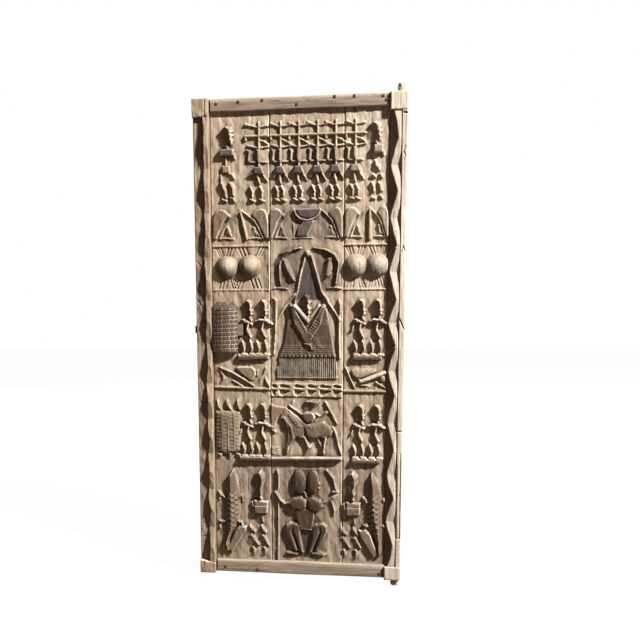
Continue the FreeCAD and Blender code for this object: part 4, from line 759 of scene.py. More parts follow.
pen.slab((-318, 560), (-296, 566), (-276, 565), (-247, 575), (-223, 557), (-214, 540), (-222, 524),
         (-238, 518), (-262, 516), (-280, 510), (-302, 516), (-314, 540), stand=17, shoulder=14)
pen.slab((-336, 519), (-309, 524), (-297, 492), (-288, 488), (-312, 453), (-324, 455), (-312, 482),
         (-334, 506), stand=17, shoulder=3, crest=0.84)
pen.slab((-302, 564), (-280, 561), (-306, 524), (-311, 518), (-334, 517), (-326, 528), stand=20,
         shoulder=3, crest=0.84)
pen.limb((-270, 512, 6), (-256, 486, 4), stand=13, crest=0.84)
pen.slab((-263, 522), (-234, 524), (-240, 498), (-244, 458), (-262, 458), (-259, 486), stand=18,
         shoulder=3, crest=0.84)
pen.limb((-216, 552, 5), (-208, 530, 7), (-200, 495, 6), (-187, 457, 4), stand=14, crest=0.82)
pen.slab((-321, 609), (-317, 634), (-305, 645), (-282, 650), (-260, 646), (-270, 632), (-288, 612),
         (-291, 606), stand=19, shoulder=4, crest=0.82)
pen.slab((-320, 600), (-303, 607), (-282, 603), (-275, 588), (-285, 571), (-306, 571), (-317, 585),
         stand=17, shoulder=4)
pen.limb((-364, 624, 6), (-346, 611, 6), (-322, 594, 6), (-306, 578, 6), stand=15, crest=0.84)
pen.limb((-358, 630, 3), (-351, 643, 3), stand=9, crest=0.8)
pen.limb((-274, 598, 4), (-258, 587, 5), (-234, 608, 5), stand=12, crest=0.8)
pen.slab((-243, 644), (-236, 640), (-198, 566), (-206, 562), (-232, 604), (-244, 622), stand=13,
         crest=0.82)
pen.stain_and_paint_light((-395, 580), (-350, 575), (-300, 570), (-225, 568), (-214, 540), (-250, 512), (-340, 510),
          (-380, 460), (-394, 460), amount=0.5, soft=8)
pen.stain_and_paint_light((-322, 606), (-283, 606), (-278, 572), (-316, 576), amount=0.7, soft=4)
pen.stain_and_paint_light((-322, 655), (-258, 655), (-262, 640), (-290, 606), (-322, 606), amount=0.45, soft=6)


def carve_crocodile(p):
    """A crocodile seen from above: one long leaf for head and body, its right half hatched, four
    short legs and a tail bent up beside it."""
    p.limb((-20, 196, 6), (-38, 214, 6), (-38, 190, 5), stand=12, crest=0.75)
    p.limb((30, 190, 6), (44, 206, 6), (44, 184, 5), stand=12, crest=0.75)
    p.limb((-20, 108, 6), (-38, 108, 6), (-38, 84, 5), stand=12, crest=0.75)
    p.slab((16, 298), (24, 278), (31, 233), (36, 181), (36, 147), (29, 105), (12, 78), (-2, 43),
           (1, 12), (-12, -3), (-22, 26), (-21, 95), (-20, 164), (-17, 216), (-8, 267), stand=22,
           shoulder=4, crest=0.5)
    p.slab((-7, 12), (20, 80), (34, 96), (60, 94), (56, 76), (8, -4), stand=15, shoulder=4)
    p.limb((30, 112, 5), (40, 108, 6), (46, 88, 5), stand=19, crest=0.75)
    p.stain_and_paint_light((16, 298), (34, 233), (38, 181), (38, 147), (14, 78), (0, 12), (-12, -3), (-26, 26),
            (-22, 216), amount=0.5, soft=5)
    for step in range(7):
        z = 82 + 18 * step
        p.groove((-10, z), (34 - 0.3 * step, z + 30), width=2.4, depth=-4)
        p.groove((34 - 0.3 * step, z), (-8, z + 30), width=2.4, depth=-4)
    for step in range(6):
        p.groove((-18 + 2 * step, 24 + 10 * step), (-4 + 2 * step, 32 + 10 * step), width=2.4,
                 depth=-3.5)
    p.groove((24, 278), (31, 233), (36, 181), (36, 147), (29, 105), (12, 78), width=3, depth=-4)


def carve_bearer(p):
    """A standing figure that holds a box before its chest, on flared legs and turned feet."""
    p.slab((10, 318), (24, 303), (26, 282), (17, 264), (18, 240), (12, 228), (15, 214), (-2, 206),
           (-24, 212), (-30, 236), (-25, 266), (-12, 300), stand=26, shoulder=5, crest=0.8)
    p.slab((-16, 210), (-8, 211), (34, 206), (33, 190), (-14, 192), stand=16, shoulder=4)
    p.slab((-32, 196), (-20, 206), (-15, 190), (-17, 150), (-32, 148), stand=14, crest=0.84)
    p.slab((-14, 192), (33, 191), (32, 163), (-13, 163), stand=19, shoulder=3)
    p.stain_and_paint_light((-14, 188), (33, 188), (32, 163), (-13, 163), amount=0.45, soft=3)
    p.slab((-14, 162), (18, 162), (17, 126), (-15, 126), stand=12, shoulder=3, crest=0.88)
    for x, wide in ((-22, 1.0), (18, 0.85)):
        leg = p.at(p.x + p.turn * x, p.z, p.turn)
        leg.slab((-9, 120), (0, 112), (14 * wide, 96), (4, 80), (-22 * wide, 80), (-24 * wide, 96),
                 stand=13, shoulder=3, crest=0.84)
        leg.slab((-2, 86), (8, 80), (24 * wide, 46), (22 * wide, 40), (-22 * wide, 40),
                 (-25 * wide, 50), (-14, 78), stand=13, shoulder=3, crest=0.84)
        leg.slab((4, 40), (13, 26), (4, 8), (-14, -4), (-20, -2), (-8, 16), (-6, 38), stand=12,
                 shoulder=3, crest=0.8)


carve_crocodile(pen.at(-576, 101))
carve_crocodile(pen.at(-66, 101, turn=-1))
carve_bearer(pen.at(-473, 82))
carve_bearer(pen.at(-154, 84))

# The seated ancestors, two heads over one body, knees drawn up, with a staff and a sickle
pen.slab((-343, 266), (-278, 266), (-278, 240), (-284, 196), (-328, 194), (-340, 230), stand=14,
         shoulder=4)
pen.limb((-326, 193, 2), (-286, 192, 2), stand=16, shoulder=3)
pen.slab((-372, 285), (-352, 304), (-322, 309), (-306, 296), (-306, 270), (-326, 258), (-356, 262),
         stand=22, shoulder=13)
pen.slab((-301, 298), (-284, 310), (-256, 298), (-246, 276), (-266, 254), (-290, 258), (-301, 272),
         stand=22, shoulder=13)
pen.oval(-330, 359, 24, 43, stand=22, flat=2.5, lean=0.06)
pen.oval(-283, 360, 21, 42, stand=22, flat=2.5, lean=-0.06)
pen.slab((-268, 372), (-256, 352), (-263, 346), (-259, 338), (-268, 332), stand=17, crest=0.8)
for step in range(7):
    pen.groove((-350 + 1.2 * step, 372 - 8 * step), (-330, 386 - 9 * step), width=2.2, depth=1.6)
pen.groove((-345, 344), (-338, 362), width=2.6, depth=-2.4)
pen.groove((-318, 346), (-314, 364), width=2.6, depth=-2.4)
pen.slab((-322, 326), (-306, 326), (-304, 304), (-316, 304), stand=14, crest=0.7)
pen.limb((-352, 284, 11), (-380, 273, 11), (-399, 292, 9), (-414, 320, 6), stand=17, crest=0.76)
pen.limb((-248, 284, 6), (-228, 290, 8), (-214, 306, 6), (-202, 318, 4), stand=14, crest=0.75)
pen.limb((-222, 292, 7), (-212, 262, 8), (-214, 244, 4), stand=14, crest=0.78)
for side in (-1, 1):
    leg = pen.at(-306, 0, side)
    leg.slab((22, 204), (34, 214), (48, 212), (46, 180), (18, 108), (8, 106), (20, 170), stand=18,
             shoulder=8)
    leg.slab((42, 214), (58, 217), (72, 206), (74, 186), (42, 114), (28, 112), (50, 180), stand=17,
             shoulder=8)
pen.slab((-384, 96), (-372, 110), (-350, 112), (-332, 104), (-340, 92), (-376, 88), stand=15,
         crest=0.66)
pen.slab((-296, 94), (-284, 108), (-264, 114), (-234, 104), (-250, 92), (-286, 88), stand=15,
         crest=0.66)
pen.slab((-408, 404), (-398, 388), (-398, 346), (-404, 324), (-414, 330), (-418, 366), stand=15,
         crest=0.8)
pen.limb((-410, 330, 4), (-405, 290, 4.5), (-406, 77, 4.5), stand=12, crest=0.7)
pen.limb((-237, 402, 4), (-216, 374, 7), (-206, 334, 6), stand=13, crest=0.76)
pen.limb((-214, 328, 4), (-198, 328, 4), stand=12)
pen.stain_and_paint_light((-352, 404), (-262, 404), (-262, 318), (-246, 290), (-246, 262), (-278, 256), (-250, 216),
          (-232, 200), (-262, 110), (-236, 104), (-290, 86), (-384, 88), (-350, 112), (-382, 190),
          (-350, 216), (-340, 250), (-376, 275), (-352, 310), amount=1.0, soft=6)
pen.stain_and_paint_light((-395, 410), (-215, 410), (-225, 100), (-385, 100), amount=0.42, soft=24)

# The whole lowest row is darker, the upper right plank paler and dustier
pen.stain_and_paint_light((-660, 425), (0, 425), (0, 0), (-660, 0), amount=0.24, soft=30)
pen.stain_and_paint_light((-176, 1600), (-20, 1600), (-20, 990), (-176, 990), amount=0.17, soft=24, kind="rubbed_and_highlight")


def add_scars(carving):
    """Shallow adze marks, slow waves and upright drying cracks over everything."""
    x, z = np.meshgrid(carving.x, carving.z)
    height = carving.height
    ground = np.clip(1 - height / 6, 0, 1)
    height += ground * (1.5 * lattice(x, z, 95, 140, 3) + 1.5 * lattice(x + 0.25 * z, z, 17, 34, 4))
    height += 0.9 * lattice(x, z, 8, 15, 5) + 0.45 * lattice(x, z, 4, 60, 6)
    cracks = np.clip(1 - np.abs(lattice(x, z, 26, 420, 7)) / 0.03, 0, 1)
    where = np.clip(lattice(x, z, 60, 260, 8) * 2.5 - 0.6, 0, 1)
    height -= 2.2 * cracks * where
    np.clip(height, DEEPEST, HIGHEST, out=height)


add_scars(carving)

# The bolt runs over the planks behind the lock, so its way is cut free; then every edge is
# softened a little, as a dull adze and long use leave it
part, _, _ = carving.window(LEFT_SEAM, -512, 865.5, 909.5)
carving.height[part] = np.minimum(carving.height[part], BOLT_WAY)
SOFTENING = 0.35
carving.height = SOFTENING * blurred(carving.height, 1) + (1 - SOFTENING) * carving.height


def aging_and_shade(height, pitch=(2.03, 2.28)):
    """Where the wood is worn, darkened or raised, each from 0 to 1, from the height around it:
    worn light along thin edges; soot and painted shade in narrow and wide hollows; painted shade on
    sides that look down and left, away from the lamp; and "top" where it stands 3 mm or more out of
    the ground."""
    narrow, wide = blurred(height, 2) - height, blurred(height, 7) - height
    rise_z, rise_x = np.gradient(height, *pitch)
    # Sides that look down and left, away from the lamp, get painted shade
    looks_down = 0.55 * rise_x + 0.83 * rise_z
    return {"wear_and_highlight": np.clip((height - blurred(height, 1)) / 2.4 - 0.12, 0, 1),
            "soot_and_shade": 0.7 * np.clip(narrow / 5 - 0.05, 0, 1) + 0.85 * np.clip(wide / 12, 0, 1)
            + 0.75 * np.clip(looks_down - 0.1, 0, 1),
            "top": np.clip((height - 3) / 6, 0, 1)}


# Points across a board's rear face, and how far its worn long edges are set in and lowered there
BACK_POINTS = 12
BACK_EDGE_IN, BACK_EDGE_DROP = 1.8, 2.2


def ring_faces(rings, points):
    """Quads between stacked rings of points, and the two rings that close the ends."""
    level, spot = np.meshgrid(np.arange(rings - 1), np.arange(points), indexing="ij")
    after = (spot + 1) % points
    quads = np.stack([level * points + spot, level * points + after,
                      (level + 1) * points + after, (level + 1) * points + spot], -1)
    caps = [list(range(points))[::-1], list(range((rings - 1) * points, rings * points))]
    return quads.reshape(-1, 4).tolist() + caps


def make_piece(name, points, faces, material, masks=None, flat_faces=None):
    """A closed mesh from places in millimetres, its vertices holding the part's own frame."""
    mesh = bpy.data.meshes.new(name)
    mesh.from_pydata((np.asarray(points).reshape(-1, 3) * MM).tolist(), [], faces)
    mesh.update()
    smooth = np.ones(len(faces), bool)
    if flat_faces is not None:
        smooth[flat_faces] = False
    mesh.polygons.foreach_set("use_smooth", smooth)
    for mask, values in (masks or {}).items():
        attribute = mesh.attributes.new(mask, "FLOAT", "POINT")
        attribute.data.foreach_set("value", np.asarray(values, np.float32).ravel())
    mesh.materials.append(material)
    piece = bpy.data.objects.new(name, mesh)
    bpy.context.scene.collection.objects.link(piece)
    return piece


def make_board(name, x, z, front, masks, material):
    """A board as stacked rings: front points from left to right at their own depth, then
    points of the rear face back again."""
    rows, count = front.shape
    inner_x = np.linspace(x[-1] - BACK_EDGE_IN, x[0] + BACK_EDGE_IN, BACK_POINTS - 2)
    rear_x = np.concatenate([x[-1:], inner_x, x[:1]])
    points = np.zeros((rows, count + BACK_POINTS, 3))
    points[:, :count, 0], points[:, count:, 0] = x, rear_x
    points[:, :count, 1], points[:, count:, 1] = front, BACK
    points[:, :, 2] = z[:, None]
    grid_x, grid_z = np.meshgrid(inner_x, z)
    points[:, count + 1:-1, 1] -= 0.5 + 0.5 * lattice(grid_x, grid_z, 40, 90, 11)
    points[:, [count, -1], 1] -= BACK_EDGE_DROP
    spread = {mask: np.concatenate([values, np.full((rows, BACK_POINTS), 0.12)], 1)
              for mask, values in masks.items()}
    # The rear long edges, at the seams, get soot and painted shade
    spread["soot_and_shade"][:, [count, -1]] = 0.9
    quads = (rows - 1) * (count + BACK_POINTS)
    column = np.tile(np.arange(count + BACK_POINTS), rows - 1)
    flat = np.concatenate([np.flatnonzero(column >= count - 1), [quads, quads + 1]])
    return make_piece(name, points, ring_faces(rows, count + BACK_POINTS), material, spread, flat)


# Each plank takes its own columns of the carving. The wood falls away at the seams, which are
# darkened with soot and painted shade, and where it is stained less of its edges is rubbed light.
first = 0
for name, (left, right) in PLANKS.items():
    x = columns[name]
    own = slice(first, first + len(x))
    first += len(x)
    height = carving.height[:, own]
    edge = np.minimum(x - left, right - x)
    lowered = height * np.clip(edge / 3 + 0.4, 0, 1) - 3 * np.clip(2.4 - edge, 0, 2.4)
    height = np.minimum(height, lowered)
    masks = aging_and_shade(height)
    for kind in ("patina_and_shade", "slate"):
        masks[kind] = carving.stains_and_painted_light[kind][:, own]
    uneven = 0.75 + 0.45 * lattice(*np.meshgrid(x, carving.z), 16, 22, 12)
    kept = np.clip(uneven, 0, 1) * (1 - 0.6 * masks["slate"]) * (1 - 0.35 * masks["patina_and_shade"])
    masks["wear_and_highlight"] = np.maximum(masks["wear_and_highlight"] * kept, carving.stains_and_painted_light["rubbed_and_highlight"][:, own])
    # Soot and painted shade along the seams
    masks["soot_and_shade"] = np.clip(masks["soot_and_shade"] + 0.7 * np.clip(1 - edge / 3, 0, 1), 0, 1)
    masks["soot_and_shade"] *= height < CLEAN_TIP
    plank = make_board(name + "_carved", x, carving.z, FACE - height, masks, PLANK_WOOD)
    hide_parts(name)
    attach(plank, "leaf")


# ---- The stiles --------------------------------------------------------------------------------
# A zigzag ridge runs down the inner edge of each stile between plain end blocks; the pivot
# stile keeps a round stub at both ends, hewn from the same timber.

LEFT_CRESTS = (120, 262, 395, 517, 640, 765, 917, 1056, 1205, 1349, 1494)
RIGHT_CRESTS = (150, 312, 480, 668, 831, 989, 1165, 1335, 1500)
RIDGE_LOW, RIDGE_HIGH = 70, 1587
LEFT_RIDGE_EDGE, RIGHT_RIDGE_EDGE = -648, -1.2
BLOCK_HEIGHT = 24.5
STILE_POINTS = 45


def zigzag(z, crests, crest, valley):
    """The ridge's height: straight flanks from each crest to the valley halfway to the next."""
    ends = [(end, valley + 0.45 * (crest - valley)) for end in (RIDGE_LOW, RIDGE_HIGH)]
    halves = [((a + b) / 2, valley) for a, b in zip(crests, crests[1:])]
    knots = sorted([(place, crest) for place in crests] + halves + ends)
    return np.interp(z, [place for place, _ in knots], [height for _, height in knots])


def smooth_step(value, low, high):
    """From 0 to 1 between two values by t*t*(3 - 2t)."""
    t = np.clip((value - low) / (high - low), 0, 1)
    return t * t * (3 - 2 * t)


def finish_stile(name, x, z, height, material, painted_flank_shade=0.0):
    """Scar the stile, work out how it is worn and darkened, add painted shade where it is given,
    and make its mesh.
    """
    grid_x, grid_z = np.meshgrid(x, z)
    height += 0.6 * lattice(grid_x, grid_z, 9, 30, 21) + 0.35 * lattice(grid_x, grid_z, 4, 70, 22)
    edge = np.minimum(x - x[0], x[-1] - x)
    ends = np.minimum(z - z[0], z[-1] - z)[:, None]
    height -= np.clip(2.2 - edge, 0, 3) + np.clip(2.4 - ends, 0, 3)
    masks = aging_and_shade(height, (1.62, 1.25))
    masks["patina_and_shade"] = np.clip(0.25 * lattice(grid_x, grid_z, 40, 200, 23) + 0.02
                              + 0.3 * (grid_x < LEFT_RIDGE_EDGE), 0, 1)
    masks["soot_and_shade"] = np.clip(np.maximum(masks["soot_and_shade"], painted_flank_shade), 0, 1)
    masks["top"] *= 0.2
    stile = make_board(name + "_carved", x, z, FACE - height, masks, material)
    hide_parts(name)
    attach(stile, "leaf")


def nick(carving, cuts, **form):
    """Straight cuts, each from one place (x, z) to another."""
    for low_x, low_z, high_x, high_z in cuts:
        Pen(carving).groove((low_x, low_z), (high_x, high_z), **form)


stile_z = np.linspace(LOW, HIGH, 1000)

# At the lock's side: a steep inner flank, a slanting shoulder, and nicks from long use
stile_x = np.linspace(LEFT_EDGE, LEFT_SEAM, STILE_POINTS)
gx, gz = np.meshgrid(stile_x, stile_z)
ridge = zigzag(stile_z, LEFT_CRESTS, 30.5, 14.0)[:, None]
narrow = np.clip((ridge - 14) / 17, 0, 1)
flank = (gx + 645 + 6 * (1 - narrow) + 2.6 * lattice(0 * gz, gz, 50, 42, 61)) * 7
shoulder = 24 + (LEFT_SEAM - gx) * 1.1 + 6 * (1 - narrow)
block = (gz > 1588 + 0.1 * (gx + 655)) | (gz < 66 - 0.2 * (gx + 655))
left_carving = Carving(stile_x, stile_z)
left_carving.height = np.where(block, BLOCK_HEIGHT,
                               np.maximum(8.0, np.minimum(np.minimum(flank, shoulder), ridge)))
left_carving.height += (1.6 * lattice(gx, gz, 14, 26, 62) * (gx < LEFT_RIDGE_EDGE)
                        + 1.2 * lattice(gx, gz, 11, 20, 63))
nick(left_carving, ((-680, 955, -652, 1010), (-678, 988, -658, 960), (-680, 148, -660, 158),
                    (-675, 1420, -655, 1452), (-678, 1120, -660, 1096), (-676, 700, -655, 735),
                    (-676, 640, -656, 612)), width=3, depth=2.8)
nick(left_carving, ((-668, 132, -650, 146),), width=2.4, depth=5)
nick(left_carving, ((-641, 1592, -639, 1640),), width=2.5, depth=2.5)
finish_stile("left_stile", stile_x, stile_z, left_carving.height, LEFT_STILE_WOOD)

# At the pivots: a ridge over the inner part, whose far flank, turned away from the lamp, carries
# painted shade, beside a flat outer part with scratched signs and worn places
OUTER_HEIGHT = 22.5
stile_x = np.linspace(RIGHT_SEAM, RIGHT_EDGE, STILE_POINTS)
gx, gz = np.meshgrid(stile_x, stile_z)
ridge = zigzag(stile_z, RIGHT_CRESTS, 26.7, 13.0)[:, None]
steep = 0.93 + 1.1 * (1 - np.clip((ridge - 13) / 14, 0, 1)) ** 2
slope = (gx + 38 + 1.6 * lattice(0 * gz, gz, 50, 36, 64)) * steep
block = (gz > RIDGE_HIGH + 1) | (gz < RIDGE_LOW)
# Painted shade over the ridge's far flank
painted_flank_shade = np.clip((ridge - slope) / 3, 0, 1) * (gx < RIGHT_RIDGE_EDGE) * ~block
right_carving = Carving(stile_x, stile_z)
right_carving.height = np.where(gx < RIGHT_RIDGE_EDGE, np.minimum(slope, ridge), OUTER_HEIGHT)
right_carving.height[block] = BLOCK_HEIGHT
nick(right_carving, ((-1, 72, -1, 1586),), width=2.6, depth=6)
nick(right_carving, ((-30, 1140, -15, 1155), (-45, 962, -20, 988), (-40, 805, -12, 830),
                     (-22, 465, -8, 478)), width=3.2, depth=-4)
nick(right_carving, ((6, 1578, 18, 1575),), width=6, depth=8)
stile_pen = Pen(right_carving)
stile_pen.groove((12, 1475), (5, 1460), (12, 1445), (6, 1430), width=3, depth=3)
stile_pen.groove((3, 1140), (9, 1160), (16, 1142), width=3, depth=3)
nick(right_carving, ((2, 922, 17, 886),), width=4, depth=5)
nick(right_carving, ((1, 546, 17, 546),), width=3.5, depth=5)
nick(right_carving, ((2, 176, 2, 430), (13, 176, 13, 470)), width=2.6, depth=4)
nick(right_carving, ((1, 173, 18, 173),), width=3, depth=4)
finish_stile("right_stile", stile_x, stile_z, right_carving.height, RIGHT_STILE_WOOD, painted_flank_shade)


def make_stub(name, low, high, radius, tip_round):
    """A round stub: rings whose radius is r = R * (1 + ripple) and is drawn in at the free end."""
    levels = np.linspace(low, high, 16)
    turns = np.linspace(0, 2 * math.pi, 48, endpoint=False)
    free = np.abs(levels - (low if low < LOW else high))
    drawn = radius - tip_round * (1 - smooth_step(free, 0, 5))
    turn_grid, level_grid = np.meshgrid(turns, levels)
    ripple = 0.35 * np.cos(7 * turn_grid + 0.2 * level_grid) + 0.25 * np.cos(13 * turn_grid)
    around = drawn[:, None] - 0.6 + ripple
    points = np.stack([around * np.cos(turn_grid), around * np.sin(turn_grid), level_grid], -1)
    masks = {"soot_and_shade": np.full(points.shape[:2], 0.25), "wear_and_highlight": np.zeros(points.shape[:2])}
    stub = make_piece(name, points, ring_faces(len(levels), len(turns)), RIGHT_STILE_WOOD, masks)
    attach(stub, "leaf")


PIVOT_RADIUS, STUB_OVERLAP = 14.5, 3.0
make_stub("pivot_toe", 0.0, LOW + STUB_OVERLAP, PIVOT_RADIUS, 1.2)
make_stub("pivot_head", HIGH - STUB_OVERLAP, 1671.0, PIVOT_RADIUS, 1.6)


# ---- The battens -------------------------------------------------------------------------------
# Roughly hewn battens, nailed across the planks; the upper one is greyer and its edges wave.

BATTEN_LEFT, BATTEN_THICK = -622.0, 15.0


def make_batten(name, low, high, seed, grey):
    """A batten as rings around its length. Each ring is a rounded box, |y|^7 + |z|^7 = 1, whose
    edges wave by a millimetre or two; its front is grooved and split along the grain."""
    x = np.linspace(BATTEN_LEFT, RIGHT_SEAM - 0.3, 300)
    turns = np.linspace(0, 2 * math.pi, 56, endpoint=False)
    half_y, half_z = BATTEN_THICK / 2, (high - low) / 2
    power = 7.0
    c, s = np.cos(turns), np.sin(turns)
    size = (np.abs(c) ** power + np.abs(s) ** power) ** (-1 / power)
    grid_x, grid_t = np.meshgrid(x, turns, indexing="ij")
    bow = 1.2 * lattice(grid_x, grid_t * 0, 170, 10, seed)
    y = FACE - half_y + half_y * (size * c)[None, :]
    z = (low + half_z + half_z * (size * s))[None, :] + 0 * grid_x
    front = np.clip(-(size * c), 0, 1)[None, :]
    upper = np.clip(s, 0, 1)[None, :]
    z = z - upper * (1.3 + bow) + np.clip(-s, 0, 1)[None, :] * (0.8 + 0.6 * bow)
    grooves = 0.5 * lattice(grid_x, z, 60, 5, seed + 1) + 0.35 * lattice(grid_x, z, 25, 3, seed + 2)
    split = np.clip(1 - np.abs(lattice(grid_x, z, 200, 13, seed + 3)) / 0.08, 0, 1)
    y = y + front * (0.7 + grooves + 1.6 * split * (lattice(grid_x, z, 90, 30, seed + 4) > 0.1))
    points = np.stack([grid_x, np.clip(y, FACE - BATTEN_THICK + 0.1, FACE - 0.05),
                       np.clip(z, low, high)], -1)
    hollow = np.clip(front * (grooves + 0.3) + 0.8 * front * split, 0, 1)
    masks = {"soot_and_shade": 0.55 * hollow, "top": grey * front + 0 * grid_x,
             "wear_and_highlight": 0.5 * np.clip(front * upper * 2 - 0.6, 0, 1) + 0 * grid_x}
    faces = [face[::-1] for face in ring_faces(len(x), len(turns))]
    batten = make_piece(name + "_hewn", points, faces, RAIL_WOOD, masks,
                        [len(faces) - 2, len(faces) - 1])
    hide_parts(name)
    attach(batten, "leaf")


make_batten("top_rail", 1602.0, HIGH, seed=31, grey=0.45)
make_batten("bottom_rail", 27.0, 75.0, seed=41, grey=0.1)


def dress(name, material):
    """Give a part that keeps its own shape another material."""
    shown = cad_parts[name].data
    if not shown.materials:
        shown.materials.append(material)
    for spot in range(len(shown.materials)):
        shown.materials[spot] = material
    return shown


# Nails and staples keep the shapes that they have as parts: forged, square and rusty
for name in ("top_rail_nails", "bottom_rail_nails", "left_stile_staples", "left_seam_staples",
             "right_seam_staples", "right_stile_staples"):
    shown = dress(name, IRON)
    shown.polygons.foreach_set("use_smooth", np.zeros(len(shown.polygons), bool))


# ---- The lock ----------------------------------------------------------------------------------
# The case is built like a little granary: a barrel front of staggered mud bricks under three
# pointed tops. Bolt and pins are plain dark wood, polished by use.

CASE_LEFT, CASE_RIGHT, CASE_LOW, CASE_HIGH = -626.0, -540.0, 812.0, 965.0
CROWN, CASE_SIDE, TOPS_THICK = 34.0, 22.0, 19.0
TOPS_RISE, TOP_SHARES = 19.5, (0.70, 0.60, 0.45)
COURSE, JOINT_HALF, JOINT_DEPTH = 13.9, 1.7, 2.6
UPRIGHT_JOINTS, JOINT_STEP = (-612.8, -588.0, -562.5, -546.9), 1.6


def make_case():
    """The front's height h = side + (crown - side) * (1 - u^2), with u from -1 to 1 across it,
    cut by brick joints; each upright column of points ends in the line of the pointed tops."""
    count, rows = 88, 176
    x = np.linspace(CASE_LEFT, CASE_RIGHT, count)
    across = (x - CASE_LEFT) / (CASE_RIGHT - CASE_LEFT)
    arc = CASE_SIDE + (CROWN - CASE_SIDE) * (1 - (2 * across - 1) ** 2)
    third = across * 3
    which = np.minimum(third.astype(int), 2)
    lean = np.array(TOP_SHARES)[which]
    within = third - which
    point = np.where(within < lean, within / lean, (1 - within) / (1 - lean))
    share = np.linspace(0, 1, rows)[:, None]
    z = CASE_LOW + share * (CASE_HIGH + TOPS_RISE * point - CASE_LOW)[None, :]
    gx = np.broadcast_to(x, z.shape)
    above = smooth_step(z, CASE_HIGH - 10, CASE_HIGH + 12)
    height = arc * (1 - above) + np.minimum(TOPS_THICK, arc) * above
    course = (z - CASE_LOW) / COURSE
    away = np.abs(course - np.round(course)) * COURSE
    step = np.where(np.floor(course).astype(int) % 2 == 0, JOINT_STEP, -JOINT_STEP)
    for place in UPRIGHT_JOINTS:
        away = np.minimum(away, np.abs(gx - place - step))
    cut = np.clip(1 - (away / JOINT_HALF) ** 2, 0, 1) * (z < CASE_HIGH - 2)
    height = height - JOINT_DEPTH * cut - 0.35 + 0.35 * lattice(gx, z, 6, 6, 51)
    rim = np.minimum(gx - CASE_LEFT, CASE_RIGHT - gx)
    return x, z, height - np.clip(2.5 - rim, 0, 3) * 1.2, cut


case_x, case_z, case_height, case_cut = make_case()
rows, count = case_z.shape
rear_x = np.linspace(CASE_RIGHT, CASE_LEFT, 10)
points = np.zeros((rows, count + len(rear_x), 3))
points[:, :count, 0], points[:, count:, 0] = case_x, rear_x
points[:, :count, 1], points[:, count:, 1] = FACE - case_height, FACE
points[:, :count, 2] = case_z
points[:, count:, 2] = [np.interp(rear_x, case_x, row) for row in case_z]

# The joints are rubbed pale, the left side carries painted shade where the barrel turns away from
# the lamp, and the bricks are dark with handling
painted_barrel_shade = np.clip(1.15 - (case_x - CASE_LEFT) / 60, 0, 1)
blotch = 0.25 * lattice(np.broadcast_to(case_x, case_z.shape), case_z, 20, 24, 52)
case_masks = {"soot_and_shade": 0.45 * painted_barrel_shade * (1 - 0.7 * case_cut),
              "wear_and_highlight": 0.5 * case_cut * (1 - 0.6 * painted_barrel_shade),
              "patina_and_shade": np.clip(0.55 + blotch, 0, 1) * (1 - 0.8 * case_cut)}
case_masks = {mask: np.pad(values, ((0, 0), (0, len(rear_x))))
              for mask, values in case_masks.items()}
faces = ring_faces(rows, count + len(rear_x))
case = make_piece("lock_case_carved", points, faces, LOCK_WOOD, case_masks,
                  [len(faces) - 2, len(faces) - 1])
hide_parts("lock_case")
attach(case, "leaf")

dress("bolt", BOLT_WOOD)
for name in ("tumbler_pin_1", "tumbler_pin_2", "tumbler_pin_3"):
    dress(name, PIN_WOOD)


# ---- Floor, light and camera -------------------------------------------------------------------
# The door is seen against white, in hard light from the upper right, close to its face. A weak,
# wide lamp shows the back when the view is turned.

def seen_node(tree):
    """1 for what the camera, a mirror or glass sees, 0 for the light that falls on things."""
    path = node(tree, "LightPath").outputs
    return math_node(tree, "MAXIMUM", path["Is Camera Ray"],
                     math_node(tree, "MAXIMUM", path["Is Glossy Ray"], path["Is Transmission Ray"]))


def make_white(name, strength, share):
    """White where it is seen, but for a share of plain matt that keeps the object's shadow."""
    material = bpy.data.materials.new(name)
    material.use_nodes = True
    tree = material.node_tree
    tree.nodes.clear()
    seen = seen_node(tree)
    pale = blend_node(tree, seen, (0.14, 0.12, 0.1, 1.0), (0.8, 0.8, 0.8, 1.0))
    matt = node(tree, "BsdfDiffuse", {"Color": pale})
    white = node(tree, "Emission", {"Color": (1.0, 1.0, 1.0, 1.0), "Strength": strength})
    mix = node(tree, "MixShader", {"Fac": math_node(tree, "MULTIPLY", seen, share)})
    tree.links.new(matt.outputs[0], mix.inputs[1])
    tree.links.new(white.outputs[0], mix.inputs[2])
    out = node(tree, "OutputMaterial")
    tree.links.new(mix.outputs[0], out.inputs[0])
    return material


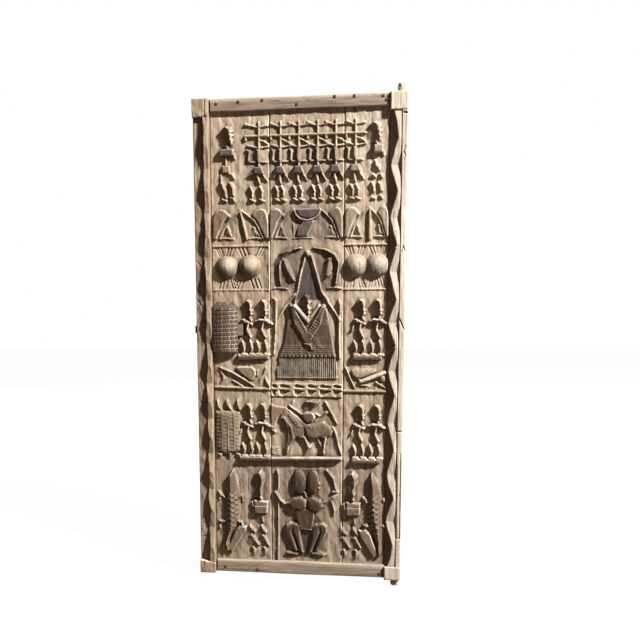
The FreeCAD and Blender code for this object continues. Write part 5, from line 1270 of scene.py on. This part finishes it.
floor_mesh = bpy.data.meshes.new("floor")
floor_mesh.from_pydata([(-9, -9, 0), (9, -9, 0), (9, 9, 0), (-9, 9, 0)], [], [(0, 1, 2, 3)])
floor_mesh.materials.append(make_white("floor_white", 1.05, 0.9))
floor = bpy.data.objects.new("floor", floor_mesh)
bpy.context.scene.collection.objects.link(floor)

world = bpy.data.worlds.new("studio")
bpy.context.scene.world = world
world.use_nodes = True
sky = world.node_tree
AMBIENT = (0.046, 0.009, 0.0, 1.0)
sky.links.new(blend_node(sky, seen_node(sky), AMBIENT, (1.0, 1.0, 1.0, 1.0)),
              sky.nodes["Background"].inputs["Color"])

DOOR_MIDDLE = Vector((-0.33, 0.0, 0.85))


def make_lamp(name, toward, away, width, power):
    """A round, faintly warm lamp that looks at the middle of the door from a direction."""
    data = bpy.data.lights.new(name, "AREA")
    data.shape, data.size = "DISK", width
    data.energy = power
    data.color = (1.0, 0.98, 0.95)
    lamp = bpy.data.objects.new(name, data)
    toward = Vector(toward).normalized()
    lamp.location = DOOR_MIDDLE + away * toward
    lamp.rotation_euler = toward.to_track_quat("Z", "Y").to_euler()
    bpy.context.scene.collection.objects.link(lamp)


make_lamp("key", (0.636, -0.438, 0.636), away=7.0, width=0.5, power=1450.0)
make_lamp("fill_behind", (-0.25, 1.0, 0.35), away=5.0, width=2.5, power=240.0)

# The camera stands a little right of the door's middle and looks left and down at it
SENSOR, FOCAL_SHARE = 36.0, 775 / 640
TURNED, TIPPED, ROLLED = 7.75, 7.98, -0.52
camera_data = bpy.data.cameras.new("camera")
camera_data.sensor_width = SENSOR
camera_data.lens = FOCAL_SHARE * SENSOR
camera_data.shift_x, camera_data.shift_y = 0.0998, 0.107
camera = bpy.data.objects.new("camera", camera_data)
camera.matrix_world = (Matrix.Translation((-0.123, -2.622, 1.055))
                       @ Matrix.Rotation(math.radians(TURNED), 4, "Z")
                       @ Matrix.Rotation(math.radians(90 - TIPPED), 4, "X")
                       @ Matrix.Rotation(math.radians(ROLLED), 4, "Z"))
bpy.context.scene.collection.objects.link(camera)
bpy.context.scene.camera = camera
bpy.context.scene.view_settings.view_transform = "Standard"
